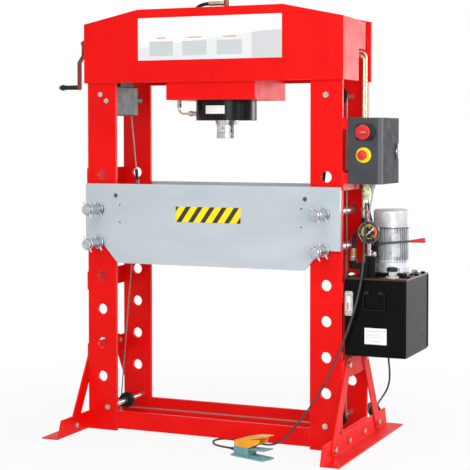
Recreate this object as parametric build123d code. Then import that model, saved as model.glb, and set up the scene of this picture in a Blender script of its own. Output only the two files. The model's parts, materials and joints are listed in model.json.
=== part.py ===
from build123d import *
from math import acos, atan2, cos, degrees, pi, radians, sin, sqrt, tan
import os

os.makedirs("parts", exist_ok=True)

# A two-column hydraulic workshop press with an electric power unit, a winch and a foot pedal.
# Millimetres. X runs along the table, Y from front to back, Z up.
# The origin is on the floor under the ram, in the middle between the front and rear plates.

# Fits and gaps
RUN_FIT = 0.06
GAP = 0.4
HOLE_PLAY = 0.5

# Columns
DAYLIGHT_W = 973.0
UPRIGHT_W = 149.0
PLATE_T = 16.0
FRAME_DEPTH = 374.0
UPRIGHT_H = 1850.0
PIN_HOLE_D = 50.0
PIN_PITCH = 160.0
PIN_ROWS = 7
LOWEST_PIN_Z = 255.0
TIE_T = 6.0
TIE_H = 86.0
TIE_HEIGHTS = (363.0, 707.0, 1199.0)
BASE_LOW = 12.0
BASE_HIGH = 95.0

# Feet and braces
FOOT_HEIGHT = 84.0
FOOT_WIDTH = 87.0
FOOT_LENGTH = 944.0
FOOT_SLANT = 30.0
FOOT_BEND_R = 6.0
BRACE_W = 64.0
BRACE_TOP_Y = 122.0
BRACE_TOP_Z = 380.0
BRACE_FOOT_Y = 265.0 + 48.0
BRACE_FOOT_Z = 40.0
FOOT_BOLT_Y = 108.0
BOLT_D = 16.0
BOLT_HEAD_AF = 24.0
BOLT_HEAD_H = 10.0

# Head
HEAD_T = 18.0
HEAD_BOTTOM = 1643.0
HEAD_SHOULDER = 1920.0
HEAD_RIDGE = 1980.0
HEAD_OVERHANG = 9.5
HEAD_SLOPE_RUN = 283.0
HEAD_END_T = 8.0
HEAD_END_REACH = 291.0
HEAD_NOTCH_Y = 196.0
HEAD_NOTCH_Z = 1788.0
CRADLE_HALF_W = 222.0
CRADLE_BOTTOM = 1561.0
CRADLE_RISE = 140.0
CRADLE_WALL = 20.0
CRADLE_FLOOR_T = 40.0

# Cylinder and ram
CYL_OD = 285.0
CYL_BORE = 230.0
CYL_BOTTOM = 1467.0
CYL_L = 468.0
CYL_END_T = 45.0
GLAND_T = 58.0
COLLAR_OD = 320.0
COLLAR_T = 32.0
ROD_D = 112.0
PISTON_T = 58.0
TIP_D = 93.0
TIP_CONE = 22.0
TIP_JOINT_Z = 1413.0
TIP_BOTTOM = 1384.0
TIP_SCREW_D = 9.0
SPIGOT_D = 50.0
SPIGOT_L = 30.0
TOP_PORT_R = 6.0
SIDE_PORT_R = 6.5

# Table and its pins
TABLE_INSET = 1.5
TABLE_T = 20.0
TABLE_TOP = 1171.0
TABLE_BOTTOM = 800.0
TABLE_GAP = 5.0
CHAMFER_LOW_IN = 95.0
CHAMFER_HIGH_IN = 16.0
TABLE_ROW = 5
PIN_D = 45.0
PIN_FRONT = 132.0
PIN_REAR = 18.0
PIN_CHAMFER = 3.0
TABLE_LIFT = 4.2
WEB_INNER_X = 155.0
WEB_OUTER_IN = 46.5
WEB_T = 12.0
WEB_MARGIN = 34.0
SHAFT_D = 23.0
SHAFT_IN = 89.0
SHAFT_DROP = 54.0
SHAFT_END = 3.0
TABLE_HOLE_D = 9.0
TABLE_HOLE_IN = 108.0
TABLE_HOLE_DROPS = (98.0, 180.0)
CLIP_WIRE = 5.0
CLIP_SHAFT_D = 7.0
CLIP_SHAFT_L = 84.0
CLIP_LEAN = 31.0
CLIP_INSET = 17.0

# Rope, pulleys and winch
ROPE_D = 6.0
SHEAVE_R = 37.0
SHEAVE_W = 20.0
SHEAVE_GROOVE_R = 28.5
AXLE_D = 16.0
SLEEVE_D = 23.0
SLEEVE_GAP = 0.6
PULLEY_LOW_Z = 111.0
PULLEY_HIGH_Z = 1576.0
PULLEY_LEFT_IN = 31.0
EYE_LEG = 74.0
EYE_PLAY = 1.6
FERRULE_D = 15.0
FERRULE_L = 50.0
ROPE_OFFSET = 15.0
WINCH_LOW = 1492.0
WINCH_HIGH = 1629.0
WINCH_FACE_IN = 13.5
WINCH_FRONT = 165.0
WINCH_REAR = 63.0
WINCH_W = 96.0
GEARBOX_TOP = 1892.0
CRANK_Z = 1846.0
CRANK_Y = 0.0
CRANK_R = 214.0
CRANK_SHAFT_D = 20.0
CRANK_INNER_IN = 1.0
CRANK_ARM_OUT = 122.5
CRANK_JOGGLE = 24.0
CRANK_BAR_W = 26.0
CRANK_BAR_T = 10.0
GRIP_L = 96.0
GRIP_D = 23.0

# Control box
BOX_STANDOFF = 24.5
BOX_W = 135.0
BOX_DEPTH = 261.0
BOX_LOW = 1185.0
BOX_H = 290.0
BOX_WALL = 2.5
DOOR_T = 19.0
DOOR_GAP = 1.0
BOX_FOLD_R = 6.0
ARM_H = 49.0
ARM_T = 5.0
ARM_DEPTH = 232.0
SWITCH_IN = 73.0
SWITCH_Z = 1412.0
SWITCH_R = 33.0
ESTOP_Z = 1312.0
ESTOP_PLATE_R = 34.0
ESTOP_R = 21.0
ESTOP_TRAVEL = 5.0
LOCK_Y = 35.0
LOCK_Z = 1327.0
LOCK_STEM_R = 9.0
SWITCH_STEM_R = 8.0
ESTOP_STEM_R = 11.0
GLAND_R = 8.0
GLAND_PLACES = ((70.0, -140.0), (87.0, -100.0), (16.0, 50.0))
HOSE_SPREAD = (78.0, 30.0)

# Power unit
TANK_STANDOFF = 10.5
TANK_W = 280.0
TANK_DEPTH = 354.0
TANK_LOW = 433.0
TANK_HIGH = 768.0
TANK_CORNER_R = 8.0
LID_T = 8.0
LID_LIP = 3.0
MOTOR_IN = 159.0
MOTOR_Y = 0.0
MOTOR_PLATE = 190.0
MOTOR_PLATE_T = 18.0
FLANGE_R = 89.0
FLANGE_H = 42.0
BODY_R = 66.0
BODY_H = 152.0
FIN_COUNT = 32
FIN_OUT = 9.0
FIN_T = 3.0
COWL_R = 81.0
COWL_H = 82.0
COWL_ROUND = 14.0
COWL_WALL = 2.5
SHAFT_BEARING_R = 9.0
BLOCK_IN = 100.0
BLOCK_Y = -125.0
GAUGE_R = 49.0
GAUGE_T = 34.0
GAUGE_RISE = 197.0
GAUGE_FRONT = -150.0
LEVER_RISE = 143.0
LEVER_L = 172.0
LEVER_GRIP_L = 62.0
LEVER_TILT = 6.0
LEVER_PIN_R = 4.0
LEVER_PIVOT_DX = 10.0
CAP_IN = 200.0
CAP_Y = -125.0
BAIL_W = 96.0
BAIL_DROP = 74.0
BAIL_IN = 138.0
BAIL_Z = 713.0
BAIL_WIRE = 8.0
BAIL_POST = 4.0

# Hydraulic lines
PIPE_D = 12.0
PIPE_STANDOFF = 16.0
PIPE_Y = (62.0, 95.0)
PIPE_LOW = 1178.0
PIPE_IN_Z = (1760.0, 1778.0)
HOSE_D = 17.0
LINE_BEHIND = 165.0
PORT_Z = 1500.0
TOP_HOSE_X = -172.0
TOP_HOSE_LOW = 1870.0
TOP_BLOCK_H = 108.0

# Foot pedal
PEDAL_X = 204.0
PEDAL_Y = -429.0
PEDAL_TURN = -18.5
PEDAL_L = 189.0
PEDAL_W = 88.0
PEDAL_BASE_H = 26.0
PEDAL_CABLE_V = 44.0

# Cords
FOOT_CABLE_D = 9.0
MAINS_D = 9.0
MOTOR_CABLE_D = 8.0
PLUG_R = 32.0
PLUG_L = 105.0

# Places worked out from the sizes above
HALF_DEPTH = FRAME_DEPTH / 2
COLUMN_X = (DAYLIGHT_W + UPRIGHT_W) / 2
COLUMN_OUT = DAYLIGHT_W / 2 + UPRIGHT_W
HEAD_HALF_W = COLUMN_OUT + HEAD_OVERHANG
HEAD_RIDGE_HALF = HEAD_HALF_W - HEAD_SLOPE_RUN
CYL_TOP = CYL_BOTTOM + CYL_L
TABLE_HALF_W = COLUMN_OUT - TABLE_INSET
CHAMFER_LOW_X = COLUMN_X - CHAMFER_LOW_IN
CHAMFER_HIGH_X = COLUMN_X - CHAMFER_HIGH_IN
WEB_X = (WEB_INNER_X, DAYLIGHT_W / 2 - WEB_OUTER_IN)
SHAFT_X = COLUMN_X - SHAFT_IN
TABLE_HOLE_X = COLUMN_X - TABLE_HOLE_IN
PULLEY_LEFT_X = PULLEY_LEFT_IN - COLUMN_X
WINCH_FACE_X = -(DAYLIGHT_W / 2 + WINCH_FACE_IN)
CRANK_INNER_X = CRANK_INNER_IN - COLUMN_X
CRANK_ARM_X = -(COLUMN_OUT + CRANK_ARM_OUT)
BOX_X = COLUMN_OUT + BOX_STANDOFF
SWITCH_X = BOX_X + SWITCH_IN
TANK_X = COLUMN_OUT + TANK_STANDOFF
MOTOR_X = TANK_X + MOTOR_IN
BLOCK_X = TANK_X + BLOCK_IN
CAP_X = TANK_X + CAP_IN
BAIL_X = TANK_X + BAIL_IN
PIPE_X = COLUMN_OUT + PIPE_STANDOFF
PIN_HEIGHTS = [LOWEST_PIN_Z + row * PIN_PITCH for row in range(PIN_ROWS)]
PIN_DROP = (PIN_HOLE_D - PIN_D) / 2 - GAP
TABLE_PIN_Z = [PIN_HEIGHTS[row] - PIN_DROP for row in range(TABLE_ROW - 1, TABLE_ROW + 1)]
TABLE_HOLE_Z = [z - (PIN_HOLE_D - PIN_D) / 2 + GAP for z in TABLE_PIN_Z]
TABLE_FACE = HALF_DEPTH + TABLE_GAP
TABLE_OUT = TABLE_FACE + TABLE_T
SHAFT_Z = TABLE_TOP - SHAFT_DROP
ROPE_WRAP = SHEAVE_GROOVE_R + ROPE_D / 2 + GAP
PULLEYS = {
    "lower_left": (PULLEY_LEFT_X, PULLEY_LOW_Z),
    "lower_right": (COLUMN_X, PULLEY_LOW_Z),
    "upper_right": (COLUMN_X, PULLEY_HIGH_Z),
}
BOX_RIGHT = BOX_X + BOX_W
BOX_BACK = -HALF_DEPTH + BOX_DEPTH
BOX_TOP = BOX_LOW + BOX_H
LID_TOP = TANK_HIGH + LID_T
FLANGE_LOW = LID_TOP + MOTOR_PLATE_T
BODY_LOW = FLANGE_LOW + FLANGE_H
COWL_LOW = BODY_LOW + BODY_H
LEVER_Y = BLOCK_Y + 25
TOP_ARM_Z = CYL_TOP + 80
LEFT_SHAFT = (-SHAFT_X, SHAFT_Z)
RIGHT_SHAFT = (SHAFT_X, SHAFT_Z)
LEFT_SLACK_EYE = (-SHAFT_X, SHAFT_Z + TABLE_LIFT - 0.5)
WINCH_EXIT = (WINCH_FACE_X - 9, WINCH_LOW)
GLANDS = [(BOX_X + along, y, GLAND_R) for along, y in GLAND_PLACES]
HOSE_ENDS = (
    (BLOCK_X - HOSE_SPREAD[0], BLOCK_Y, LID_TOP + 124),
    (BLOCK_X - HOSE_SPREAD[1], BLOCK_Y + 14, LID_TOP + 100),
)

# Cord routes, from the exit to the far end
GLAND_END = BOX_LOW - 20
FOOT_CABLE_ROUTE = [
    (BOX_X + 70, -140, GLAND_END),
    (BOX_X + 70, -140, 1095),
    (BOX_X + 74, -160, 1018),
    (BOX_X + 74, -178, 935),
    (BOX_X + 76, -196, 848),
    (BOX_X + 71, -211, 760),
    (BOX_X + 52, -217, 670),
    (BOX_X + 25, -219, 580),
    (BOX_X - 7, -221, 492),
    (PEDAL_X + 413, -225, 405),
    (PEDAL_X + 375, -230, 320),
    (PEDAL_X + 331, -238, 240),
    (PEDAL_X + 280, -248, 165),
    (PEDAL_X + 228, -252, 98),
    (PEDAL_X + 172, -232, 42),
    (PEDAL_X + 108, -200, 5),
    (PEDAL_X + 37, -186, 5),
    (PEDAL_X - 33, -172, 5),
    (PEDAL_X - 98, -163, 5),
    (PEDAL_X - 160, -158, 5),
    (PEDAL_X - 190, -215, 5),
    (PEDAL_X - 152, -285, 5),
    (PEDAL_X - 92, -345, 15),
    (PEDAL_X - 24.5, -390.5, 24),
    (PEDAL_X + 2, -399.4, 24),
]
MAINS_ROUTE = [
    (BOX_X + 16, 50, GLAND_END),
    (BOX_X + 16, 50, 1085),
    (BOX_X + 24, 104, 990),
    (BOX_X + 32, 156, 895),
    (BOX_X + 40, 190, 790),
    (TANK_X + 62, 200, 685),
    (TANK_X + 71, 202, 578),
    (TANK_X + 80, 203, 471),
    (TANK_X + 83, 207, 368),
    (TANK_X + 87, 222, 285),
    (TANK_X + 68, 258, 222),
    (TANK_X + 25, 325, 168),
    (TANK_X - 22, 410, 120),
    (TANK_X - 75, 525, 73),
]
MOTOR_CABLE_ROUTE = [
    (BOX_X + 87, -100, GLAND_END),
    (BOX_X + 87, -100, 1125),
    (BOX_X + 70, -86, 1078),
    (BOX_X + 54, -50, 1035),
    (BOX_X + 52, -8, 990),
    (BOX_X + 48, 35, 950),
    (TANK_X + 74, 80, 920),
    (TANK_X + 96, 99.5, 905),
    (TANK_X + 117, 99.5, 905),
]


def block(x0, x1, y0, y1, z0, z1):
    size = Box(abs(x1 - x0), abs(y1 - y0), abs(z1 - z0))
    return Pos((x0 + x1) / 2, (y0 + y1) / 2, (z0 + z1) / 2) * size


def rod(radius, start, end):
    along = Vector(*end) - Vector(*start)
    low = (Align.CENTER, Align.CENTER, Align.MIN)
    return Plane(origin=start, z_dir=along) * Cylinder(radius, along.length, align=low)


def hexagon(across_flats, start, end):
    along = Vector(*end) - Vector(*start)
    face = Plane(origin=start, z_dir=along) * RegularPolygon(across_flats / sqrt(3), 6)
    return extrude(face, amount=along.length, dir=along)


def slab(points, y0, y1):
    face = Plane.XZ.offset(-y0) * make_face(Polyline(*points, close=True))
    return extrude(face, amount=y1 - y0, dir=(0, 1, 0))


def turned(points, x, y, z):
    face = Plane.XZ * make_face(Polyline(*points, close=True))
    return Pos(x, y, z) * revolve(face, Axis.Z)


def tube_along(path, radius):
    return sweep(Plane(origin=path @ 0, z_dir=path % 0) * Circle(radius), path=path)


def bent_tube(points, bend, radius):
    return tube_along(FilletPolyline(*points, radius=bend), radius)


def mirrored(shape):
    return mirror(shape, Plane.YZ)


def save(name, *pieces):
    solids = [solid for piece in pieces for solid in piece.solids()]
    shape = solids[0] if len(solids) == 1 else Compound(children=solids)
    shape.label = name
    export_step(shape, f"parts/{name}.step")


# Columns: four drilled plates, their side ties and the base
def upright(side, face):
    inner = DAYLIGHT_W / 2
    outer_y = face * HALF_DEPTH
    inner_y = face * (HALF_DEPTH - PLATE_T)
    plate = block(side * inner, side * COLUMN_OUT, outer_y, inner_y, 0, UPRIGHT_H)
    for z in PIN_HEIGHTS:
        plate -= rod(PIN_HOLE_D / 2, (side * COLUMN_X, -HALF_DEPTH, z), (side * COLUMN_X, HALF_DEPTH, z))
    for x, z in PULLEYS.values():
        if x * side > 0:
            plate -= rod(AXLE_D / 2 + HOLE_PLAY, (x, -HALF_DEPTH, z), (x, HALF_DEPTH, z))
    return plate


def side_ties():
    ties = []
    for side in (-1, 1):
        for z in TIE_HEIGHTS:
            out = side * (COLUMN_OUT + TIE_T)
            tie = block(side * COLUMN_OUT, out, -HALF_DEPTH, HALF_DEPTH, z - TIE_H / 2, z + TIE_H / 2)
            if z == TIE_HEIGHTS[0]:
                tie -= brace_bolt_holes(side, BRACE_TOP_Y, BRACE_TOP_Z)
            ties.append(tie)
    return ties


def base_beams():
    inner = DAYLIGHT_W / 2
    beams = []
    for face in (-1, 1):
        out_y = face * HALF_DEPTH
        in_y = face * (HALF_DEPTH - PLATE_T)
        beams.append(block(-inner, inner, out_y, in_y, BASE_LOW, BASE_HIGH))
    for side in (-1, 1):
        reach = HALF_DEPTH - PLATE_T
        end = block(side * (COLUMN_OUT - TIE_T), side * COLUMN_OUT, -reach, reach, BASE_LOW, BASE_HIGH)
        beams.append(end - brace_bolt_holes(side, FOOT_BOLT_Y, BRACE_FOOT_Z))
    return beams


def brace_bolt_holes(side, y, z):
    holes = []
    for sign in (-1, 1):
        near = (side * (COLUMN_OUT - 2 * TIE_T), sign * y, z)
        far = (side * (COLUMN_OUT + 4 * TIE_T), sign * y, z)
        holes.append(rod(BOLT_D / 2 + HOLE_PLAY, near, far))
    return holes


# Feet: bent angles outside the columns, with two flat braces each
def foot(side):
    half = FOOT_LENGTH / 2
    top = half - FOOT_SLANT
    leg_face = Plane.YZ * make_face(
        Polyline((-half, 0), (half, 0), (top, FOOT_HEIGHT), (-top, FOOT_HEIGHT), close=True)
    )
    leg = extrude(leg_face, amount=TIE_T, dir=(1, 0, 0))
    leg = Pos(COLUMN_OUT, 0, 0) * leg
    sole = block(COLUMN_OUT, COLUMN_OUT + FOOT_WIDTH, -half, half, 0, TIE_T)
    angle = leg + sole
    corner = angle.edges().filter_by(Axis.Y).sort_by_distance((COLUMN_OUT, 0, 0))[0]
    angle = fillet(corner, FOOT_BEND_R)
    for y in (BRACE_FOOT_Y, FOOT_BOLT_Y):
        angle -= brace_bolt_holes(1, y, BRACE_FOOT_Z)
    return angle if side > 0 else mirrored(angle)


def brace(side, face):
    top = Vector(0, face * BRACE_TOP_Y, BRACE_TOP_Z)
    low = Vector(0, face * BRACE_FOOT_Y, BRACE_FOOT_Z)
    lean = degrees(atan2(low.Y - top.Y, top.Z - low.Z))
    long = (top - low).length
    outline = SlotCenterToCenter(long, BRACE_W)
    middle = (top + low) * 0.5
    bar = extrude(Plane.YZ * outline, amount=TIE_T, dir=(1, 0, 0))
    bar = Pos(0, middle.Y, middle.Z) * Rot(X=90 + lean) * bar
    near = COLUMN_OUT + TIE_T if side > 0 else -COLUMN_OUT - 2 * TIE_T
    bar = Pos(near, 0, 0) * bar
    bar -= brace_bolt_holes(side, BRACE_TOP_Y, BRACE_TOP_Z)
    bar -= brace_bolt_holes(side, BRACE_FOOT_Y, BRACE_FOOT_Z)
    return bar


def through_bolt(side, y, z, inner, outer):
    head = hexagon(BOLT_HEAD_AF, (side * outer, y, z), (side * (outer + BOLT_HEAD_H), y, z))
    nut = hexagon(BOLT_HEAD_AF, (side * inner, y, z), (side * (inner - BOLT_HEAD_H), y, z))
    shank = rod(BOLT_D / 2, (side * (inner - BOLT_HEAD_H - 4), y, z), (side * (outer + 1), y, z))
    return head + nut + shank


def frame_bolts():
    bolts = []
    for side in (-1, 1):
        for face in (-1, 1):
            brace_out = COLUMN_OUT + 2 * TIE_T
            bolts.append(through_bolt(side, face * BRACE_TOP_Y, BRACE_TOP_Z, COLUMN_OUT, brace_out))
            bolts.append(through_bolt(side, face * BRACE_FOOT_Y, BRACE_FOOT_Z, COLUMN_OUT, brace_out))
            bolts.append(
                through_bolt(side, face * FOOT_BOLT_Y, BRACE_FOOT_Z, COLUMN_OUT - TIE_T, COLUMN_OUT + TIE_T)
            )
    return bolts


# Head: two profiled plates, end plates with a rear notch, and the cylinder's cradle
def head_plate(face):
    outline = [
        (-HEAD_HALF_W, HEAD_BOTTOM),
        (HEAD_HALF_W, HEAD_BOTTOM),
        (HEAD_HALF_W, HEAD_SHOULDER),
        (HEAD_RIDGE_HALF, HEAD_RIDGE),
        (-HEAD_RIDGE_HALF, HEAD_RIDGE),
        (-HEAD_HALF_W, HEAD_SHOULDER),
    ]
    near = HALF_DEPTH if face > 0 else -HALF_DEPTH - HEAD_T
    return slab(outline, near, near + HEAD_T)


def head_end(side):
    back = -HALF_DEPTH + HEAD_END_REACH
    notch = -HALF_DEPTH + HEAD_NOTCH_Y
    outline = [
        (-HALF_DEPTH, HEAD_BOTTOM),
        (notch, HEAD_BOTTOM),
        (notch, HEAD_NOTCH_Z),
        (back, HEAD_NOTCH_Z),
        (back, HEAD_SHOULDER - 8),
        (-HALF_DEPTH, HEAD_SHOULDER),
    ]
    face = Plane.YZ * make_face(Polyline(*outline, close=True))
    plate = Pos(HEAD_HALF_W - HEAD_END_T, 0, 0) * extrude(face, amount=HEAD_END_T, dir=(1, 0, 0))
    if side > 0:
        return plate
    plate = mirrored(plate)
    outer = -HEAD_HALF_W - 1
    hole = rod(CRANK_SHAFT_D / 2 + 2, (outer, CRANK_Y, CRANK_Z), (-HEAD_HALF_W + 40, CRANK_Y, CRANK_Z))
    return plate - hole


def cylinder_cradle():
    top = CRADLE_BOTTOM + CRADLE_RISE
    outer = block(-CRADLE_HALF_W, CRADLE_HALF_W, -HALF_DEPTH, HALF_DEPTH, CRADLE_BOTTOM, top)
    inner_x = CRADLE_HALF_W - CRADLE_WALL
    inner_y = HALF_DEPTH - CRADLE_WALL
    floor = CRADLE_BOTTOM + CRADLE_FLOOR_T
    cradle = outer - block(-inner_x, inner_x, -inner_y, inner_y, floor, top)
    return cradle - rod(CYL_OD / 2 + HOLE_PLAY, (0, 0, CRADLE_BOTTOM), (0, 0, floor))


# Cylinder: barrel with a seat collar and an end gland, then the ram with its tip
def cylinder():
    bore = CYL_BORE / 2
    rod_way = ROD_D / 2 + RUN_FIT
    out = CYL_OD / 2
    seat = CRADLE_BOTTOM + CRADLE_FLOOR_T
    profile = [
        (rod_way, CYL_BOTTOM),
        (out - 2, CYL_BOTTOM),
        (out, CYL_BOTTOM + 2),
        (out, seat),
        (COLLAR_OD / 2, seat),
        (COLLAR_OD / 2, seat + COLLAR_T),
        (out, seat + COLLAR_T),
        (out, CYL_TOP - 4),
        (out - 4, CYL_TOP),
        (0, CYL_TOP),
        (0, CYL_TOP - CYL_END_T),
        (bore, CYL_TOP - CYL_END_T),
        (bore, CYL_BOTTOM + GLAND_T),
        (rod_way, CYL_BOTTOM + GLAND_T),
    ]
    barrel = turned(profile, 0, 0, 0)
    barrel -= rod(TOP_PORT_R, (0, 0, CYL_TOP - CYL_END_T - 1), (0, 0, CYL_TOP + 1))
    return barrel - rod(SIDE_PORT_R, (-out - 1, 0, PORT_Z), (12 - out, 0, PORT_Z))


def ram():
    piston_top = CYL_TOP - CYL_END_T - 1
    piston = rod(CYL_BORE / 2 - GAP, (0, 0, piston_top - PISTON_T), (0, 0, piston_top))
    cone_top = CYL_BOTTOM - 1
    profile = [
        (0, TIP_JOINT_Z),
        (TIP_D / 2, TIP_JOINT_Z),
        (TIP_D / 2, cone_top - TIP_CONE),
        (ROD_D / 2, cone_top),
        (ROD_D / 2, piston_top - PISTON_T),
        (0, piston_top - PISTON_T),
    ]
    body = turned(profile, 0, 0, 0) + piston
    body -= rod(SPIGOT_D / 2, (0, 0, TIP_JOINT_Z), (0, 0, TIP_JOINT_Z + SPIGOT_L + 1))
    screw_z = TIP_JOINT_Z + 19
    return body - rod(TIP_SCREW_D / 2, (0, -TIP_D / 2 - 1, screw_z), (0, -SPIGOT_D / 2, screw_z))


def ram_tip():
    profile = [
        (0, TIP_BOTTOM),
        (TIP_D / 2 - 1.5, TIP_BOTTOM),
        (TIP_D / 2, TIP_BOTTOM + 1.5),
        (TIP_D / 2, TIP_JOINT_Z - 4),
        (TIP_D / 2 - 1.5, TIP_JOINT_Z - 2.5),
        (TIP_D / 2 - 1.5, TIP_JOINT_Z),
        (SPIGOT_D / 2 - 0.1, TIP_JOINT_Z),
        (SPIGOT_D / 2 - 0.1, TIP_JOINT_Z + SPIGOT_L),
        (0, TIP_JOINT_Z + SPIGOT_L),
    ]
    return turned(profile, 0, 0, 0)


# Table: two notched plates joined by webs and two cross shafts
def table_plate(face):
    end_low = TABLE_HOLE_Z[0]
    outline = [
        (-CHAMFER_LOW_X, TABLE_BOTTOM),
        (CHAMFER_LOW_X, TABLE_BOTTOM),
        (CHAMFER_HIGH_X, end_low),
        (TABLE_HALF_W, end_low),
        (TABLE_HALF_W, TABLE_TOP),
        (-TABLE_HALF_W, TABLE_TOP),
        (-TABLE_HALF_W, end_low),
        (-CHAMFER_HIGH_X, end_low),
    ]
    near = TABLE_FACE if face > 0 else -TABLE_OUT
    plate = slab(outline, near, near + TABLE_T)
    for side in (-1, 1):
        for z in TABLE_HOLE_Z:
            plate -= across(PIN_HOLE_D / 2, side * COLUMN_X, z)
        plate -= across(SHAFT_D / 2 + 0.1, side * SHAFT_X, SHAFT_Z)
        for drop in TABLE_HOLE_DROPS:
            plate -= across(TABLE_HOLE_D / 2, side * TABLE_HOLE_X, TABLE_TOP - drop)
    return plate


def across(radius, x, z):
    return rod(radius, (x, -TABLE_OUT - 1, z), (x, TABLE_OUT + 1, z))


def table_webs():
    webs = []
    for x in WEB_X:
        for side in (-1, 1):
            middle = side * x
            low = TABLE_BOTTOM + WEB_MARGIN
            high = TABLE_TOP - WEB_MARGIN
            webs.append(block(middle - WEB_T / 2, middle + WEB_T / 2, -TABLE_FACE, TABLE_FACE, low, high))
    return webs


def cross_shafts():
    reach = TABLE_OUT + SHAFT_END
    shafts = []
    for side in (-1, 1):
        shaft = rod(SHAFT_D / 2, (side * SHAFT_X, -reach, SHAFT_Z), (side * SHAFT_X, reach, SHAFT_Z))
        ends = shaft.edges().filter_by(GeomType.CIRCLE)
        shafts.append(chamfer(ends, 1.5))
    return shafts


def table_pin(side, z):
    x = side * COLUMN_X
    front = -TABLE_OUT - PIN_FRONT
    rear = TABLE_OUT + PIN_REAR
    pin = rod(PIN_D / 2, (x, front, z), (x, rear, z))
    pin = chamfer(pin.edges().filter_by(GeomType.CIRCLE), PIN_CHAMFER)
    for y in clip_places():
        pin -= clip_shaft(side, y, z, CLIP_SHAFT_D / 2 + GAP)
    return pin


def clip_places():
    return (-TABLE_OUT - PIN_FRONT + CLIP_INSET, -TABLE_OUT - CLIP_INSET)


def clip_shaft(side, y, z, radius):
    shaft = Cylinder(radius, CLIP_SHAFT_L)
    return Pos(side * COLUMN_X, y, z) * Rot(Y=-CLIP_LEAN) * shaft


def pin_clips(side, z):
    ring_r = PIN_D / 2 + CLIP_WIRE / 2 + GAP
    clips = []
    for y in clip_places():
        ring = Pos(side * COLUMN_X, y, z) * Rot(X=90) * Torus(ring_r, CLIP_WIRE / 2)
        clips.append(ring + clip_shaft(side, y, z, CLIP_SHAFT_D / 2))
    return clips


# Rope run: three sheaves on through axles, two ropes with eyes and crimped ferrules
def sheave(x, z):
    half = SHEAVE_W / 2
    groove = ROPE_D / 2 + GAP
    bore = AXLE_D / 2 + RUN_FIT
    profile = [
        (bore, -half),
        (SHEAVE_R - 1, -half),
        (SHEAVE_R, -half + 1),
        (SHEAVE_R, -half + 3),
        (SHEAVE_GROOVE_R, -groove + 0.5),
        (SHEAVE_GROOVE_R, groove - 0.5),
        (SHEAVE_R, half - 3),
        (SHEAVE_R, half - 1),
        (SHEAVE_R - 1, half),
        (bore, half),
    ]
    return Pos(x, 0, z) * Rot(X=90) * turned(profile, 0, 0, 0)


def sheave_axle(x, z):
    front = -HALF_DEPTH
    head = hexagon(BOLT_HEAD_AF, (x, front - BOLT_HEAD_H, z), (x, front, z))
    nut = hexagon(BOLT_HEAD_AF, (x, HALF_DEPTH, z), (x, HALF_DEPTH + BOLT_HEAD_H, z))
    shank = rod(AXLE_D / 2, (x, front - 1, z), (x, HALF_DEPTH + BOLT_HEAD_H + 6, z))
    return head + nut + shank


def axle_sleeves(x, z):
    inner = SHEAVE_W / 2 + SLEEVE_GAP
    outer = HALF_DEPTH - PLATE_T
    sleeves = []
    for face in (-1, 1):
        ends = (x, face * inner, z), (x, face * outer, z)
        sleeves.append(rod(SLEEVE_D / 2, *ends) - rod(AXLE_D / 2 + HOLE_PLAY, *ends))
    return sleeves


def tangent_angle(point, centre, turn):
    dx = point[0] - centre[0]
    dz = point[1] - centre[1]
    spread = acos(ROPE_WRAP / sqrt(dx * dx + dz * dz))
    return degrees(atan2(dz, dx)) + turn * degrees(spread)


def on_circle(centre, radius, angle):
    return (centre[0] + radius * cos(radians(angle)), centre[1] + radius * sin(radians(angle)))


def toward(start, end, distance):
    dx = end[0] - start[0]
    dz = end[1] - start[1]
    share = distance / sqrt(dx * dx + dz * dz)
    return (start[0] + dx * share, start[1] + dz * share)


def rope_eye(centre, end, y):
    eye_r = SHAFT_D / 2 + ROPE_D / 2 + EYE_PLAY
    apart = ROPE_D / 2 + 0.2
    reach = sqrt(EYE_LEG ** 2 + apart ** 2)
    touch = degrees(atan2(apart, EYE_LEG) + acos(eye_r / reach))
    away = degrees(atan2(end[1] - centre[1], end[0] - centre[0]))
    neck = degrees(atan2(apart, EYE_LEG))
    with BuildLine(Plane.XZ.offset(-y)) as loop:
        Line(on_circle(centre, reach, away + neck), on_circle(centre, eye_r, away + touch))
        CenterArc(centre, eye_r, away + touch, 360 - 2 * touch)
        Line(on_circle(centre, eye_r, away - touch), on_circle(centre, reach, away - neck))
    return tube_along(loop.wire(), ROPE_D / 2)


def ferrule(centre, end, y):
    start = toward(centre, end, EYE_LEG - 6)
    stop = toward(centre, end, EYE_LEG - 6 + FERRULE_L)
    return rod(FERRULE_D / 2, (start[0], y, start[1]), (stop[0], y, stop[1]))


def sync_rope_turns():
    left = tangent_angle(LEFT_SLACK_EYE, PULLEYS["lower_left"], 1)
    right = tangent_angle(RIGHT_SHAFT, PULLEYS["upper_right"], -1) + 360
    return left, right


def sync_rope():
    left, right = sync_rope_turns()
    low_left = PULLEYS["lower_left"]
    low_right = PULLEYS["lower_right"]
    high_right = PULLEYS["upper_right"]
    left_touch = on_circle(low_left, ROPE_WRAP, left)
    right_touch = on_circle(high_right, ROPE_WRAP, right)
    with BuildLine(Plane.XZ) as run:
        Line(toward(LEFT_SLACK_EYE, left_touch, EYE_LEG), left_touch)
        CenterArc(low_left, ROPE_WRAP, left, 270 - left)
        Line((low_left[0], low_left[1] - ROPE_WRAP), (low_right[0], low_right[1] - ROPE_WRAP))
        CenterArc(low_right, ROPE_WRAP, 270, 90)
        Line((low_right[0] + ROPE_WRAP, low_right[1]), (high_right[0] + ROPE_WRAP, high_right[1]))
        CenterArc(high_right, ROPE_WRAP, 0, right)
        Line(right_touch, toward(RIGHT_SHAFT, right_touch, EYE_LEG))
    eyes = [rope_eye(LEFT_SLACK_EYE, left_touch, 0), rope_eye(RIGHT_SHAFT, right_touch, 0)]
    return [tube_along(run.wire(), ROPE_D / 2)] + eyes


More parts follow.
